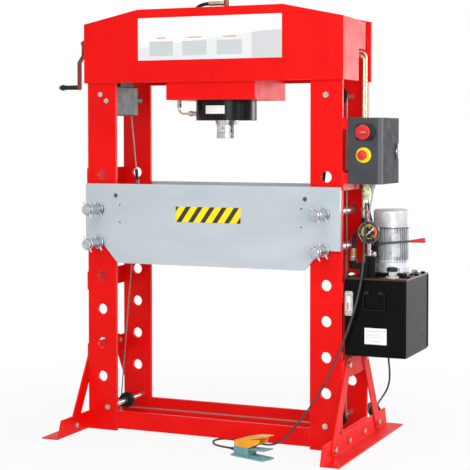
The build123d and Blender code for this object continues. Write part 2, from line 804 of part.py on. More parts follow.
def sync_ferrules():
    left, right = sync_rope_turns()
    left_touch = on_circle(PULLEYS["lower_left"], ROPE_WRAP, left)
    right_touch = on_circle(PULLEYS["upper_right"], ROPE_WRAP, right)
    return ferrule(LEFT_SLACK_EYE, left_touch, 0), ferrule(RIGHT_SHAFT, right_touch, 0)


def lift_rope():
    start = toward(LEFT_SHAFT, WINCH_EXIT, EYE_LEG)
    top = (WINCH_EXIT[0], ROPE_OFFSET, WINCH_EXIT[1] - GAP)
    rope = rod(ROPE_D / 2, (start[0], ROPE_OFFSET, start[1]), top)
    return [rope, rope_eye(LEFT_SHAFT, WINCH_EXIT, ROPE_OFFSET)]


# Winch: drum housing in the left column, gear housing above it in the head, cranked handle outside
def winch_case():
    back = WINCH_FACE_X - WINCH_W
    case = block(back, WINCH_FACE_X, -WINCH_FRONT, WINCH_REAR, WINCH_LOW, WINCH_HIGH)
    case = chamfer(case.edges().filter_by(Axis.Y), 4)
    gears = block(back, back + 70, CRANK_Y - 62, CRANK_Y + 62, WINCH_HIGH, GEARBOX_TOP)
    gears = fillet(gears.edges().filter_by(Axis.X).group_by(Axis.Z)[-1], 50)
    boss = rod(17, (back - 14, CRANK_Y, CRANK_Z), (back + 1, CRANK_Y, CRANK_Z))
    knob_x = WINCH_FACE_X - 24
    knob_z = WINCH_LOW + 75
    knob = rod(20, (knob_x, WINCH_REAR, knob_z), (knob_x, WINCH_REAR + 55, knob_z))
    case = case + gears + boss + knob
    bore_r = CRANK_SHAFT_D / 2 + RUN_FIT
    bore = rod(bore_r, (back - 15, CRANK_Y, CRANK_Z), (CRANK_INNER_X + 1, CRANK_Y, CRANK_Z))
    return case - bore


def winch_bracket():
    back = WINCH_FACE_X - WINCH_W
    front = -HALF_DEPTH + PLATE_T
    plate = block(back, WINCH_FACE_X + 4, front, -WINCH_FRONT, WINCH_LOW + 20, WINCH_HIGH + 40)
    for x, z in winch_bolt_places():
        plate -= rod(6.6, (x, -HALF_DEPTH, z), (x, -WINCH_FRONT + 1, z))
    return plate


def winch_bolt_places():
    return ((-COLUMN_X - 4, WINCH_LOW + 98), (-COLUMN_X + 28, WINCH_LOW + 68))


def winch_bolts():
    bolts = []
    for x, z in winch_bolt_places():
        bolts.append(hexagon(22, (x, -HALF_DEPTH - 8, z), (x, -HALF_DEPTH, z)))
    return bolts


def crank_arm():
    low_z = CRANK_Z - CRANK_R
    bar_half = CRANK_BAR_W / 2
    face_x = CRANK_ARM_X - CRANK_BAR_T
    outline = [
        (CRANK_ARM_X, CRANK_Z + bar_half),
        (CRANK_ARM_X, CRANK_Z - 60),
        (CRANK_ARM_X - CRANK_JOGGLE, CRANK_Z - 95),
        (CRANK_ARM_X - CRANK_JOGGLE, low_z - bar_half),
        (face_x - CRANK_JOGGLE, low_z - bar_half),
        (face_x - CRANK_JOGGLE, CRANK_Z - 92),
        (face_x, CRANK_Z - 57),
        (face_x, CRANK_Z + bar_half),
    ]
    arm = slab(outline, CRANK_Y - bar_half, CRANK_Y + bar_half)
    arm = fillet(arm.edges().filter_by(Axis.X), bar_half - 0.5)
    shaft = rod(CRANK_SHAFT_D / 2, (CRANK_INNER_X, CRANK_Y, CRANK_Z), (face_x - 6, CRANK_Y, CRANK_Z))
    hub = rod(19, (CRANK_ARM_X, CRANK_Y, CRANK_Z), (CRANK_ARM_X + 30, CRANK_Y, CRANK_Z))
    spindle_end = face_x - CRANK_JOGGLE - GRIP_L - 7
    spindle = rod(6, (CRANK_ARM_X - CRANK_JOGGLE, CRANK_Y, low_z), (spindle_end, CRANK_Y, low_z))
    cap = rod(9, (spindle_end, CRANK_Y, low_z), (spindle_end - 3, CRANK_Y, low_z))
    return arm + shaft + hub + spindle + cap


def crank_grip():
    start = 3.0
    radius = GRIP_D / 2
    bore = 6 + RUN_FIT
    profile = [
        (bore, start),
        (radius - 2, start),
        (radius, start + 2),
        (radius - 0.5, GRIP_L - 22),
        (radius + 3, GRIP_L - 8),
        (radius + 3, GRIP_L - 2),
        (radius + 1, GRIP_L),
        (bore, GRIP_L),
    ]
    grip = turned(profile, 0, 0, 0)
    end_x = CRANK_ARM_X - CRANK_BAR_T - CRANK_JOGGLE
    return Pos(end_x, CRANK_Y, CRANK_Z - CRANK_R) * Rot(Y=-90) * grip


# Control box: folded body on two arms, tray door, lock, main switch and stop button
def control_box():
    shell = block(BOX_X, BOX_RIGHT, -HALF_DEPTH, BOX_BACK, BOX_LOW, BOX_TOP)
    shell = fillet(shell.edges().filter_by(Axis.Z).sort_by(Axis.X)[:2], BOX_FOLD_R)
    hollow = block(
        BOX_X + BOX_WALL,
        BOX_RIGHT + 1,
        -HALF_DEPTH + BOX_WALL,
        BOX_BACK - BOX_WALL,
        BOX_LOW + BOX_WALL,
        BOX_TOP - BOX_WALL,
    )
    shell -= hollow
    front = -HALF_DEPTH
    shell -= rod(SWITCH_STEM_R + HOLE_PLAY, (SWITCH_X, front - 1, SWITCH_Z), (SWITCH_X, front + 9, SWITCH_Z))
    shell -= rod(ESTOP_STEM_R + HOLE_PLAY, (SWITCH_X, front - 1, ESTOP_Z), (SWITCH_X, front + 9, ESTOP_Z))
    shell += switch_plate()
    shell += estop_plate()
    for gland in cable_glands():
        shell += gland
    return shell


def box_arms():
    arms = []
    for low, start in ((BOX_LOW + 1, COLUMN_OUT + TIE_T), (BOX_TOP - ARM_H - 1, COLUMN_OUT)):
        front = -HALF_DEPTH
        back = front + ARM_DEPTH
        web = block(BOX_X - ARM_T, BOX_X, front, back, low, low + ARM_H)
        near = block(start, BOX_X, front, front + ARM_T, low, low + ARM_H)
        far = block(start, BOX_X, back - ARM_T, back, low, low + ARM_H)
        arm = web + near
        if start > COLUMN_OUT:
            arm = arm + far
        arms.append(arm)
    return arms


def control_door():
    left = BOX_RIGHT + DOOR_GAP
    right = left + DOOR_T
    door = block(left, right, -HALF_DEPTH, BOX_BACK, BOX_LOW, BOX_TOP)
    door = fillet(door.edges().filter_by(Axis.Z).sort_by(Axis.X)[-2:], BOX_FOLD_R)
    tray = block(
        left - 1,
        right - BOX_WALL,
        -HALF_DEPTH + BOX_WALL,
        BOX_BACK - BOX_WALL,
        BOX_LOW + BOX_WALL,
        BOX_TOP - BOX_WALL,
    )
    door -= tray
    return door - rod(LOCK_STEM_R + 0.05, (right - 9, LOCK_Y, LOCK_Z), (right + 1, LOCK_Y, LOCK_Z))


def door_lock():
    face = BOX_RIGHT + DOOR_GAP + DOOR_T
    stem = rod(LOCK_STEM_R, (face - 12, LOCK_Y, LOCK_Z), (face + 4, LOCK_Y, LOCK_Z))
    flange = rod(13, (face + GAP, LOCK_Y, LOCK_Z), (face + 4, LOCK_Y, LOCK_Z))
    handle = block(face + 4, face + 13, LOCK_Y - 8, LOCK_Y + 8, LOCK_Z - 40, LOCK_Z + 40)
    handle = fillet(handle.edges().filter_by(Axis.X), 6)
    cam = block(face - 16, face - 12, LOCK_Y - 8, LOCK_Y + 8, LOCK_Z - 8, LOCK_Z + 28)
    return stem + flange + handle + cam


def main_switch():
    front = -HALF_DEPTH
    disc = rod(SWITCH_R, (SWITCH_X, front - 12, SWITCH_Z), (SWITCH_X, front - 20, SWITCH_Z))
    reach = SWITCH_R - 3
    hand = block(SWITCH_X - reach, SWITCH_X + reach, front - 20, front - 38, SWITCH_Z - 9, SWITCH_Z + 9)
    hand = fillet(hand.edges().filter_by(Axis.Y), 8)
    stem = rod(SWITCH_STEM_R, (SWITCH_X, front - 12, SWITCH_Z), (SWITCH_X, front + 20, SWITCH_Z))
    return disc + hand + stem


def switch_plate():
    front = -HALF_DEPTH
    plate = block(SWITCH_X - 31, SWITCH_X + 39, front - 8, front, SWITCH_Z - 34, SWITCH_Z + 34)
    plate = fillet(plate.edges().filter_by(Axis.Y), 8)
    collar = rod(24, (SWITCH_X, front - 11, SWITCH_Z), (SWITCH_X, front - 8, SWITCH_Z))
    hole = rod(SWITCH_STEM_R + RUN_FIT, (SWITCH_X, front - 12, SWITCH_Z), (SWITCH_X, front + 1, SWITCH_Z))
    return plate + collar - hole


def estop_plate():
    front = -HALF_DEPTH
    profile = [
        (ESTOP_STEM_R + RUN_FIT, 0),
        (ESTOP_PLATE_R, 0),
        (ESTOP_PLATE_R, 4),
        (ESTOP_PLATE_R - 5, 9),
        (ESTOP_STEM_R + 4, 9),
        (ESTOP_STEM_R + 4, 13),
        (ESTOP_STEM_R + RUN_FIT, 13),
    ]
    return Pos(SWITCH_X, front, ESTOP_Z) * Rot(X=90) * turned(profile, 0, 0, 0)


def estop_button():
    low = 13 + ESTOP_TRAVEL + 1
    profile = [
        (0, -14),
        (ESTOP_STEM_R, -14),
        (ESTOP_STEM_R, low),
        (ESTOP_R - 3, low),
        (ESTOP_R, low + 3),
        (ESTOP_R, low + 8),
        (ESTOP_R - 5, low + 14),
        (0, low + 16),
    ]
    return Pos(SWITCH_X, -HALF_DEPTH, ESTOP_Z) * Rot(X=90) * turned(profile, 0, 0, 0)


def cable_glands():
    glands = []
    for (x, y, radius), cable in zip(GLANDS, (FOOT_CABLE_D, MOTOR_CABLE_D, MAINS_D)):
        nut = hexagon(24, (x, y, BOX_LOW - 7), (x, y, BOX_LOW))
        dome = rod(10, (x, y, BOX_LOW - 20), (x, y, BOX_LOW - 7))
        thread = rod(radius, (x, y, BOX_LOW), (x, y, BOX_LOW + 8))
        glands.append(nut + dome + thread)
    return glands


# Power unit: tank with a lid, sight gauge, bail handle and filler
def oil_tank():
    right = TANK_X + TANK_W
    back = -HALF_DEPTH + TANK_DEPTH
    tank = block(TANK_X, right, -HALF_DEPTH, back, TANK_LOW, TANK_HIGH)
    tank = fillet(tank.edges().filter_by(Axis.Z), TANK_CORNER_R)
    rim = block(TANK_X, right + 3, back - 5, back, TANK_LOW + 5, TANK_HIGH)
    return tank + rim


def tank_lid():
    right = TANK_X + TANK_W
    back = -HALF_DEPTH + TANK_DEPTH
    lid = block(TANK_X, right + LID_LIP, -HALF_DEPTH - LID_LIP, back + LID_LIP, TANK_HIGH, LID_TOP)
    return fillet(lid.edges().filter_by(Axis.Z), TANK_CORNER_R)


def lid_bolts():
    right = TANK_X + TANK_W - 12
    back = -HALF_DEPTH + TANK_DEPTH - 14
    left = TANK_X + 14
    places = [(right, 24.0), (right, 125.0), (right, -110.0), (left, -HALF_DEPTH + 14), (left, back)]
    return [hexagon(17, (x, y, LID_TOP), (x, y, LID_TOP + 9)) for x, y in places]


def tank_hangers():
    out = COLUMN_OUT + TIE_T
    z = TIE_HEIGHTS[1]
    return [block(out, TANK_X, y - 20, y + 20, z - 20, z + 20) for y in (-110.0, 80.0)]


def sight_gauge():
    x = TANK_X + 26
    front = -HALF_DEPTH
    body = block(x - 18, x + 18, front - 16, front, 610, 718)
    body = fillet(body.edges().filter_by(Axis.Y), 8)
    return body - block(x - 8, x + 8, front - 17, front - 9, 632, 696)


def tank_bail():
    y = -HALF_DEPTH - BAIL_POST - BAIL_WIRE / 2
    half = BAIL_W / 2
    path = FilletPolyline(
        (BAIL_X - half + 14, y, BAIL_Z),
        (BAIL_X - half, y, BAIL_Z),
        (BAIL_X - half, y, BAIL_Z - BAIL_DROP),
        (BAIL_X + half, y, BAIL_Z - BAIL_DROP),
        (BAIL_X + half, y, BAIL_Z),
        (BAIL_X + half - 14, y, BAIL_Z),
        radius=8,
    )
    return tube_along(path, BAIL_WIRE / 2)


def bail_lugs():
    y = -HALF_DEPTH - BAIL_POST - BAIL_WIRE / 2
    half = BAIL_W / 2
    lugs = []
    for side in (-1, 1):
        near = BAIL_X + side * (half - 8.5)
        far = BAIL_X + side * (half - 26)
        lug = block(near, far, -HALF_DEPTH, y - 7, BAIL_Z - 8, BAIL_Z + 8)
        lug = fillet(lug.edges().filter_by(Axis.X).group_by(Axis.Y)[0], 6)
        lugs.append(lug - rod(BAIL_WIRE / 2 + 0.08, (near + side, y, BAIL_Z), (near - side * 7, y, BAIL_Z)))
    return lugs


def filler_neck():
    neck = rod(26, (CAP_X, CAP_Y, LID_TOP), (CAP_X, CAP_Y, LID_TOP + 5))
    return neck + rod(14, (CAP_X, CAP_Y, LID_TOP + 5), (CAP_X, CAP_Y, LID_TOP + 14))


def filler_cap():
    base = LID_TOP + 5 + GAP
    profile = [
        (14 + RUN_FIT, base),
        (24, base),
        (24, base + 20),
        (19, base + 30),
        (0, base + 32),
        (0, base + 11),
        (14 + RUN_FIT, base + 11),
    ]
    cap = turned(profile, CAP_X, CAP_Y, 0)
    for index in range(12):
        spot = Rot(Z=30 * index) * Pos(25.4, 0, base + 10)
        cap -= Pos(CAP_X, CAP_Y, 0) * spot * Cylinder(2.6, 22)
    return cap


# Motor: base plate, pump flange, finned body, terminal box, slotted fan cowl and its fan
def motor_base():
    half = MOTOR_PLATE / 2
    plate = block(MOTOR_X - half, MOTOR_X + half, MOTOR_Y - half, MOTOR_Y + half, LID_TOP, FLANGE_LOW)
    return fillet(plate.edges().filter_by(Axis.Z), 14)


def motor_body():
    top = COWL_LOW + 12
    profile = [
        (0, FLANGE_LOW),
        (FLANGE_R, FLANGE_LOW),
        (FLANGE_R, FLANGE_LOW + 14),
        (BODY_R + 12, FLANGE_LOW + 20),
        (BODY_R + 12, BODY_LOW),
        (BODY_R, BODY_LOW + 4),
        (BODY_R, top),
        (SHAFT_BEARING_R, top),
        (SHAFT_BEARING_R, top - 30),
        (0, top - 30),
    ]
    body = turned(profile, MOTOR_X, MOTOR_Y, 0)
    high = COWL_LOW - 3
    fin = block(BODY_R - 2, BODY_R + FIN_OUT, -FIN_T / 2, FIN_T / 2, BODY_LOW - 1, high)
    fins = [Pos(MOTOR_X, MOTOR_Y, 0) * Rot(Z=360 * (n + 0.5) / FIN_COUNT) * fin for n in range(FIN_COUNT)]
    body = body + fins
    for corner in range(4):
        spot = Rot(Z=45 + 90 * corner) * Pos(FLANGE_R - 6, 0, FLANGE_LOW)
        lug = Cylinder(11, 20, align=(Align.CENTER, Align.CENTER, Align.MIN))
        body += Pos(MOTOR_X, MOTOR_Y, 0) * spot * lug
    return body


def terminal_box():
    near = MOTOR_Y + BODY_R + FIN_OUT + 0.5
    low = BODY_LOW + 30
    box = block(MOTOR_X - 42, MOTOR_X + 42, near, near + 48, low, low + 84)
    return fillet(box.edges().filter_by(Axis.Y), 8)


def motor_fan():
    top = COWL_LOW + 12
    shaft = rod(SHAFT_BEARING_R - RUN_FIT, (MOTOR_X, MOTOR_Y, top - 29), (MOTOR_X, MOTOR_Y, top + 44))
    hub = rod(20, (MOTOR_X, MOTOR_Y, top + 8), (MOTOR_X, MOTOR_Y, top + 40))
    blade = block(18, COWL_R - 14, -1.5, 1.5, top + 10, top + 38)
    blades = [Pos(MOTOR_X, MOTOR_Y, 0) * Rot(Z=60 * n) * blade for n in range(6)]
    return shaft + hub + blades


def motor_cowl():
    top = COWL_LOW + COWL_H
    outer = rod(COWL_R, (MOTOR_X, MOTOR_Y, COWL_LOW), (MOTOR_X, MOTOR_Y, top))
    outer = fillet(outer.edges().filter_by(GeomType.CIRCLE).sort_by(Axis.Z)[-1], COWL_ROUND)
    inner = rod(COWL_R - COWL_WALL, (MOTOR_X, MOTOR_Y, COWL_LOW), (MOTOR_X, MOTOR_Y, top - COWL_WALL))
    inner = fillet(inner.edges().filter_by(GeomType.CIRCLE).sort_by(Axis.Z)[-1], COWL_ROUND - COWL_WALL)
    cowl = outer - inner
    for ring_r, count in ((22.0, 6), (38.0, 9), (54.0, 12)):
        arc = SlotArc(CenterArc((0, 0), ring_r, 0, 360 / count - 14), 5)
        slot = Pos(MOTOR_X, MOTOR_Y, top - 6) * extrude(arc, amount=10)
        turn = 360 / count
        to_axis = Pos(-MOTOR_X, -MOTOR_Y, 0)
        cowl -= [Pos(MOTOR_X, MOTOR_Y, 0) * Rot(Z=turn * n) * to_axis * slot for n in range(count)]
    ledge = rod(COWL_R - 1, (MOTOR_X, MOTOR_Y, COWL_LOW), (MOTOR_X, MOTOR_Y, COWL_LOW + 4))
    seat = rod(BODY_R + 0.2, (MOTOR_X, MOTOR_Y, COWL_LOW - 1), (MOTOR_X, MOTOR_Y, COWL_LOW + 5))
    return cowl + (ledge - seat)


# Valve stack on the lid: ported block, spool valve with a lever, and the pressure gauge
def valve_stack():
    x = BLOCK_X
    y = BLOCK_Y
    near = LEVER_Y - 15
    far = LEVER_Y + 15
    base_edge = MOTOR_Y - MOTOR_PLATE / 2
    lower = block(x - 44, x + 30, y - 30, base_edge - 1.5, LID_TOP, LID_TOP + 62)
    lower = chamfer(lower.edges().filter_by(Axis.Z), 3)
    upper = block(x - 16, x + 30, y - 26, far, LID_TOP + 62, LID_TOP + 92)
    side = block(x - 62, x - 44, y - 16, y + 16, LID_TOP + 32, LID_TOP + 60)
    spool = block(x - 12, x + 22, near, far, LID_TOP + 92, LID_TOP + 160)
    spool = chamfer(spool.edges().filter_by(Axis.X).group_by(Axis.Z)[-1], 5)
    stack = lower + upper + side + spool
    pivot_x = x + LEVER_PIVOT_DX
    pivot_z = LID_TOP + LEVER_RISE
    stack -= block(pivot_x - 12, x + 23, LEVER_Y - 6, LEVER_Y + 6, pivot_z - 24, LID_TOP + 161)
    return stack - rod(LEVER_PIN_R + RUN_FIT, (pivot_x, near - 1, pivot_z), (pivot_x, far + 1, pivot_z))


def valve_fittings():
    x = BLOCK_X
    y = BLOCK_Y
    necks = []
    stem_y = GAUGE_FRONT + GAUGE_T / 2
    top = LID_TOP + GAUGE_RISE - GAUGE_R + 5
    nut = hexagon(19, (x, stem_y, LID_TOP + 92), (x, stem_y, LID_TOP + 118))
    necks.append(nut + rod(5, (x, stem_y, LID_TOP + 118), (x, stem_y, top)))
    necks.append(hexagon(17, (x + 19, stem_y + 4, LID_TOP + 92), (x + 19, stem_y + 4, LID_TOP + 112)))
    elbow = HOSE_ENDS[0]
    body = block(elbow[0] - 15, elbow[0] + 15, elbow[1] - 15, elbow[1] + 15, LID_TOP + 34, elbow[2] - 40)
    tail = rod(8, (elbow[0] + 15, elbow[1], LID_TOP + 46), (x - 62, elbow[1], LID_TOP + 46))
    crimp = rod(12, (elbow[0], elbow[1], elbow[2] - 34), (elbow[0], elbow[1], elbow[2]))
    nut = hexagon(24, (elbow[0], elbow[1], elbow[2] - 44), (elbow[0], elbow[1], elbow[2] - 34))
    necks.append(body + tail + nut + crimp)
    second = HOSE_ENDS[1]
    base = (second[0], second[1], LID_TOP + 62)
    necks.append(hexagon(22, base, (second[0], second[1], LID_TOP + 74)) + rod(11, base, second))
    return necks


def valve_lever():
    pivot = (BLOCK_X + LEVER_PIVOT_DX, LEVER_Y, LID_TOP + LEVER_RISE)
    lean = radians(LEVER_TILT)
    end = (pivot[0] + LEVER_L * cos(lean), pivot[1], pivot[2] + LEVER_L * sin(lean))
    bar = rod(5, pivot, end)
    eye = rod(9, (pivot[0], pivot[1] - 5.5, pivot[2]), (pivot[0], pivot[1] + 5.5, pivot[2]))
    pin = rod(LEVER_PIN_R, (pivot[0], pivot[1] - 17, pivot[2]), (pivot[0], pivot[1] + 17, pivot[2]))
    return bar + eye + pin


def lever_grip():
    profile = [
        (0, 0),
        (5.5, 0),
        (11, LEVER_GRIP_L - 14),
        (9.5, LEVER_GRIP_L - 4),
        (5, LEVER_GRIP_L),
        (0, LEVER_GRIP_L),
    ]
    grip = turned(profile, 0, 0, 0)
    lean = radians(LEVER_TILT)
    start_x = BLOCK_X + LEVER_PIVOT_DX + LEVER_L * cos(lean)
    start_z = LID_TOP + LEVER_RISE + LEVER_L * sin(lean)
    return Pos(start_x, LEVER_Y, start_z) * Rot(Y=90 - LEVER_TILT) * grip


def gauge_case():
    z = LID_TOP + GAUGE_RISE
    profile = [
        (0, 0),
        (GAUGE_R - 5, 0),
        (GAUGE_R - 5, GAUGE_T - 10),
        (GAUGE_R, GAUGE_T - 10),
        (GAUGE_R, GAUGE_T),
        (GAUGE_R - 4, GAUGE_T),
        (GAUGE_R - 4, GAUGE_T - 7),
        (0, GAUGE_T - 7),
    ]
    case = Pos(BLOCK_X, GAUGE_FRONT + GAUGE_T, z) * Rot(X=90) * turned(profile, 0, 0, 0)
    return case + rod(2, (BLOCK_X, GAUGE_FRONT + 7, z), (BLOCK_X, GAUGE_FRONT + 3, z))


def gauge_needle():
    z = LID_TOP + GAUGE_RISE
    blade = make_face(Polyline((-25, -2.2), (34, -0.8), (34, 0.8), (-25, 2.2), close=True))
    needle = extrude(Plane.XZ * blade, amount=1, dir=(0, 1, 0))
    needle += rod(5, (0, 0, 0), (0, 1, 0))
    needle -= rod(2 + RUN_FIT, (0, -1, 0), (0, 2, 0))
    return Pos(BLOCK_X, GAUGE_FRONT + 4.5, z) * Rot(Y=137) * needle


# Hydraulic lines: two steel pipes over the head and down the right column, then hoses to the valve
def pipe_routes():
    x = PIPE_X
    low_port_x = -CRADLE_HALF_W - 23
    first = [
        (x, PIPE_Y[0], PIPE_LOW),
        (x, PIPE_Y[0], PIPE_IN_Z[0]),
        (330, PIPE_Y[0], PIPE_IN_Z[0]),
        (330, LINE_BEHIND, PIPE_IN_Z[0]),
        (low_port_x, LINE_BEHIND, PIPE_IN_Z[0]),
        (low_port_x, 0, PIPE_IN_Z[0]),
        (low_port_x, 0, CRADLE_BOTTOM + 12),
    ]
    second = [
        (x, PIPE_Y[1], PIPE_LOW),
        (x, PIPE_Y[1], PIPE_IN_Z[1]),
        (370, PIPE_Y[1], PIPE_IN_Z[1]),
        (370, LINE_BEHIND, PIPE_IN_Z[1]),
        (TOP_HOSE_X, LINE_BEHIND, PIPE_IN_Z[1]),
        (TOP_HOSE_X, 0, PIPE_IN_Z[1]),
        (TOP_HOSE_X, 0, TOP_HOSE_LOW),
    ]
    return first, second


def steel_pipes():
    pipes = [bent_tube(route, 24, PIPE_D / 2) for route in pipe_routes()]
    low_port_x = -CRADLE_HALF_W - 23
    drop = [(low_port_x, 0, CRADLE_BOTTOM - 32), (low_port_x, 0, PORT_Z), (-CYL_OD / 2 - 50, 0, PORT_Z)]
    pipes.append(bent_tube(drop, 22, 5))
    return pipes


def line_fittings():
    low_port_x = -CRADLE_HALF_W - 23
    fittings = []
    nut_top = CRADLE_BOTTOM + 12
    fittings.append(hexagon(21, (low_port_x, 0, CRADLE_BOTTOM - 32), (low_port_x, 0, nut_top)))
    out = -CYL_OD / 2
    hex_nut = hexagon(22, (out - 50, 0, PORT_Z), (out - 32, 0, PORT_Z))
    stub = rod(SIDE_PORT_R - 0.1, (out - 1, 0, PORT_Z), (out + 11, 0, PORT_Z))
    fittings.append(hex_nut + hexagon(19, (out - 32, 0, PORT_Z), (out, 0, PORT_Z)) + stub)
    for y in PIPE_Y:
        sleeve = hexagon(16, (PIPE_X, y, PIPE_LOW - 40), (PIPE_X, y, PIPE_LOW))
        fittings.append(sleeve + rod(9, (PIPE_X, y, PIPE_LOW - 88), (PIPE_X, y, PIPE_LOW - 40)))
    joint = hexagon(20, (TOP_HOSE_X, 0, TOP_HOSE_LOW), (TOP_HOSE_X, 0, TOP_HOSE_LOW + 26))
    fittings.append(joint)
    return fittings


def top_port_block():
    base = hexagon(30, (0, 0, CYL_TOP), (0, 0, CYL_TOP + 26))
    post = rod(12, (0, 0, CYL_TOP + 26), (0, 0, CYL_TOP + TOP_BLOCK_H))
    z = TOP_ARM_Z
    arm = hexagon(20, (-10, 0, z), (-28, 0, z)) + rod(10.5, (-26, 0, z), (-88, 0, z))
    return base + post + arm


def hose(route):
    return tube_along(FilletPolyline(*route, radius=cord_radii(route)), HOSE_D / 2)


def hydraulic_hoses():
    top = [
        (TOP_HOSE_X, 0, TOP_HOSE_LOW + 26),
        (TOP_HOSE_X, 0, TOP_HOSE_LOW + 86),
        (TOP_HOSE_X + 26, 0, TOP_ARM_Z),
        (-88, 0, TOP_ARM_Z),
    ]
    start = PIPE_LOW - 88
    first_end = HOSE_ENDS[0]
    second_end = HOSE_ENDS[1]
    first = [
        (PIPE_X, PIPE_Y[0], start),
        (PIPE_X, PIPE_Y[0], start - 50),
        (662, 20, start - 100),
        (668, -50, start - 120),
        (first_end[0], first_end[1], first_end[2] + 52),
        first_end,
    ]
    second = [
        (PIPE_X, PIPE_Y[1], start),
        (PIPE_X, PIPE_Y[1], start - 46),
        (676, 58, start - 92),
        (696, 2, start - 122),
        (710, -58, start - 142),
        (second_end[0], second_end[1], second_end[2] + 48),
        second_end,
    ]
    return [hose(top), hose(first), hose(second)]


# Foot pedal: cast base, hinged treadle and the guard hood
def on_pedal(shape):
    return Pos(PEDAL_X, PEDAL_Y, 0) * Rot(Z=PEDAL_TURN) * shape


def pedal_base():
    base = block(0, PEDAL_L, 0, PEDAL_W, 0, PEDAL_BASE_H)
    base = chamfer(base.edges().filter_by(Axis.Z).sort_by(Axis.X)[-2:], 18)
    rear = block(0, 66, 6, PEDAL_W - 6, PEDAL_BASE_H, 46)
    rear = chamfer(rear.edges().filter_by(Axis.Z), 6)
    base = base + rear
    base -= block(66, PEDAL_L + 1, 12, PEDAL_W - 12, 12, PEDAL_BASE_H + 1)
    for side in (12, PEDAL_W - 20):
        base += block(66, 82, side, side + 8, 12, 46)
    base -= rod(3 + RUN_FIT, (74, 0, 38), (74, PEDAL_W, 38))
    return on_pedal(base - rod(FOOT_CABLE_D / 2 + 0.5, (-1, PEDAL_CABLE_V, 24), (18, PEDAL_CABLE_V, 24)))


def pedal_treadle():
    profile = [(68, 34), (68, 42), (84, 46), (PEDAL_L, 52), (PEDAL_L + 4, 48), (PEDAL_L, 46), (84, 36)]
    plate = slab(profile, 22, PEDAL_W - 22)
    pin = rod(3, (74, 10, 38), (74, PEDAL_W - 10, 38))
    for n in range(6):
        plate -= Pos(104 + 15 * n, PEDAL_W / 2, 49.6 + 0.86 * n) * Box(4, PEDAL_W - 54, 2)
    return on_pedal(plate + pin)


def pedal_guard():
    outline = [
        (2, 46),
        (2, 72),
        (60, 92),
        (150, 116),
        (204, 120),
        (204, 116),
        (168, 106),
        (112, 84),
        (150, 88),
        (160, 74),
        (62, 46),
    ]
    hood = slab(outline, 2, PEDAL_W - 2)
    inner = [
        (6, 40),
        (6, 69),
        (61, 88),
        (151, 112),
        (210, 116),
        (210, 40),
    ]
    hood -= slab(inner, 6, PEDAL_W - 6)
    return on_pedal(hood)


# Cords: hand-laid routes of straight runs with tangent arcs as large as the runs allow
def cord_radii(route):
    points = [Vector(*point) for point in route]
    radii = []
    for before, here, after in zip(points, points[1:], points[2:]):
        turn = radians((here - before).get_angle(after - here))
        run = min((here - before).length, (after - here).length)
        radii.append(0.45 * run / tan(turn / 2))
    return radii


def cord(name, route, diameter):
    radii = cord_radii(route)
    path = FilletPolyline(*route, radius=radii)
    solid = tube_along(path, diameter / 2)
    wanted = pi * diameter ** 2 / 4 * path.length
    share = solid.volume / wanted
    print(name, "length", round(path.length), "smallest radius", round(min(radii)), "share", round(share, 4))
    return solid


def mains_plug():
    end = Vector(*MAINS_ROUTE[-1])
    along = (end - Vector(*MAINS_ROUTE[-2])).normalized()
    boot_end = end + along * 52
    boot = rod(13, end, boot_end)
    flat = Vector(along.X, along.Y, 0).normalized()
    tail = Vector(boot_end.X, boot_end.Y, PLUG_R + 0.5) - flat * 8
    barrel = rod(PLUG_R, tail, tail + flat * PLUG_L)
    barrel = chamfer(barrel.edges().filter_by(GeomType.CIRCLE), 4)
    return boot + barrel


# Every node is written under its own name
save("upright_front_left", upright(-1, -1))
save("upright_front_right", upright(1, -1))
save("upright_rear_left", upright(-1, 1))
save("upright_rear_right", upright(1, 1))
save("column_ties", *side_ties(), *base_beams(), *box_arms())
save("foot_left", foot(-1))
save("foot_right", foot(1))
save("foot_braces", *[brace(side, face) for side in (-1, 1) for face in (-1, 1)])
save("frame_bolts", *frame_bolts(), *winch_bolts(), *lid_bolts())
save("head_plate_front", head_plate(-1))
save("head_plate_rear", head_plate(1))
save("head_end_plates", head_end(-1), head_end(1))
save("cylinder_cradle", cylinder_cradle())
save("cylinder", cylinder())
save("ram", ram())
save("ram_tip", ram_tip())
save("table_plate_front", table_plate(-1))
save("table_plate_rear", table_plate(1))
save("table_cross_members", *table_webs(), *cross_shafts())
for side, side_name in ((-1, "left"), (1, "right")):
    for z, row_name in zip(TABLE_PIN_Z, ("lower", "upper")):
        save(f"table_pin_{row_name}_{side_name}", table_pin(side, z), *pin_clips(side, z))
for place, (x, z) in PULLEYS.items():
    save(f"sheave_{place}", sheave(x, z))
axles = [sheave_axle(x, z) for x, z in PULLEYS.values()]
sleeves = [sleeve for x, z in PULLEYS.values() for sleeve in axle_sleeves(x, z)]
save("sheave_axles", *axles, *sleeves)
save("lift_ropes", *sync_rope(), *lift_rope())
save("rope_ferrules", *sync_ferrules(), ferrule(LEFT_SHAFT, WINCH_EXIT, ROPE_OFFSET))
save("winch_case", winch_case(), winch_bracket())
save("crank_arm", crank_arm())
save("crank_grip", crank_grip())
save("control_box", control_box())
save("control_door", control_door())
save("door_lock", door_lock())
save("main_switch", main_switch())
save("estop_button", estop_button())
save("oil_tank", oil_tank())
save("tank_lid", tank_lid(), motor_base(), filler_neck(), *tank_hangers())
save("tank_fittings", sight_gauge(), *bail_lugs())
save("tank_bail", tank_bail())
save("filler_cap", filler_cap())
save("motor_body", motor_body(), terminal_box())
save("motor_fan", motor_fan())
save("motor_cowl", motor_cowl())
save("valve_stack", valve_stack())
save("hydraulic_fittings", *valve_fittings(), *line_fittings(), top_port_block())
save("steel_pipes", *steel_pipes())
save("hydraulic_hoses", *hydraulic_hoses())
save("valve_lever", valve_lever())
save("lever_grip", lever_grip())
save("gauge_case", gauge_case())
save("gauge_needle", gauge_needle())
save("pedal_base", pedal_base())
save("pedal_treadle", pedal_treadle())
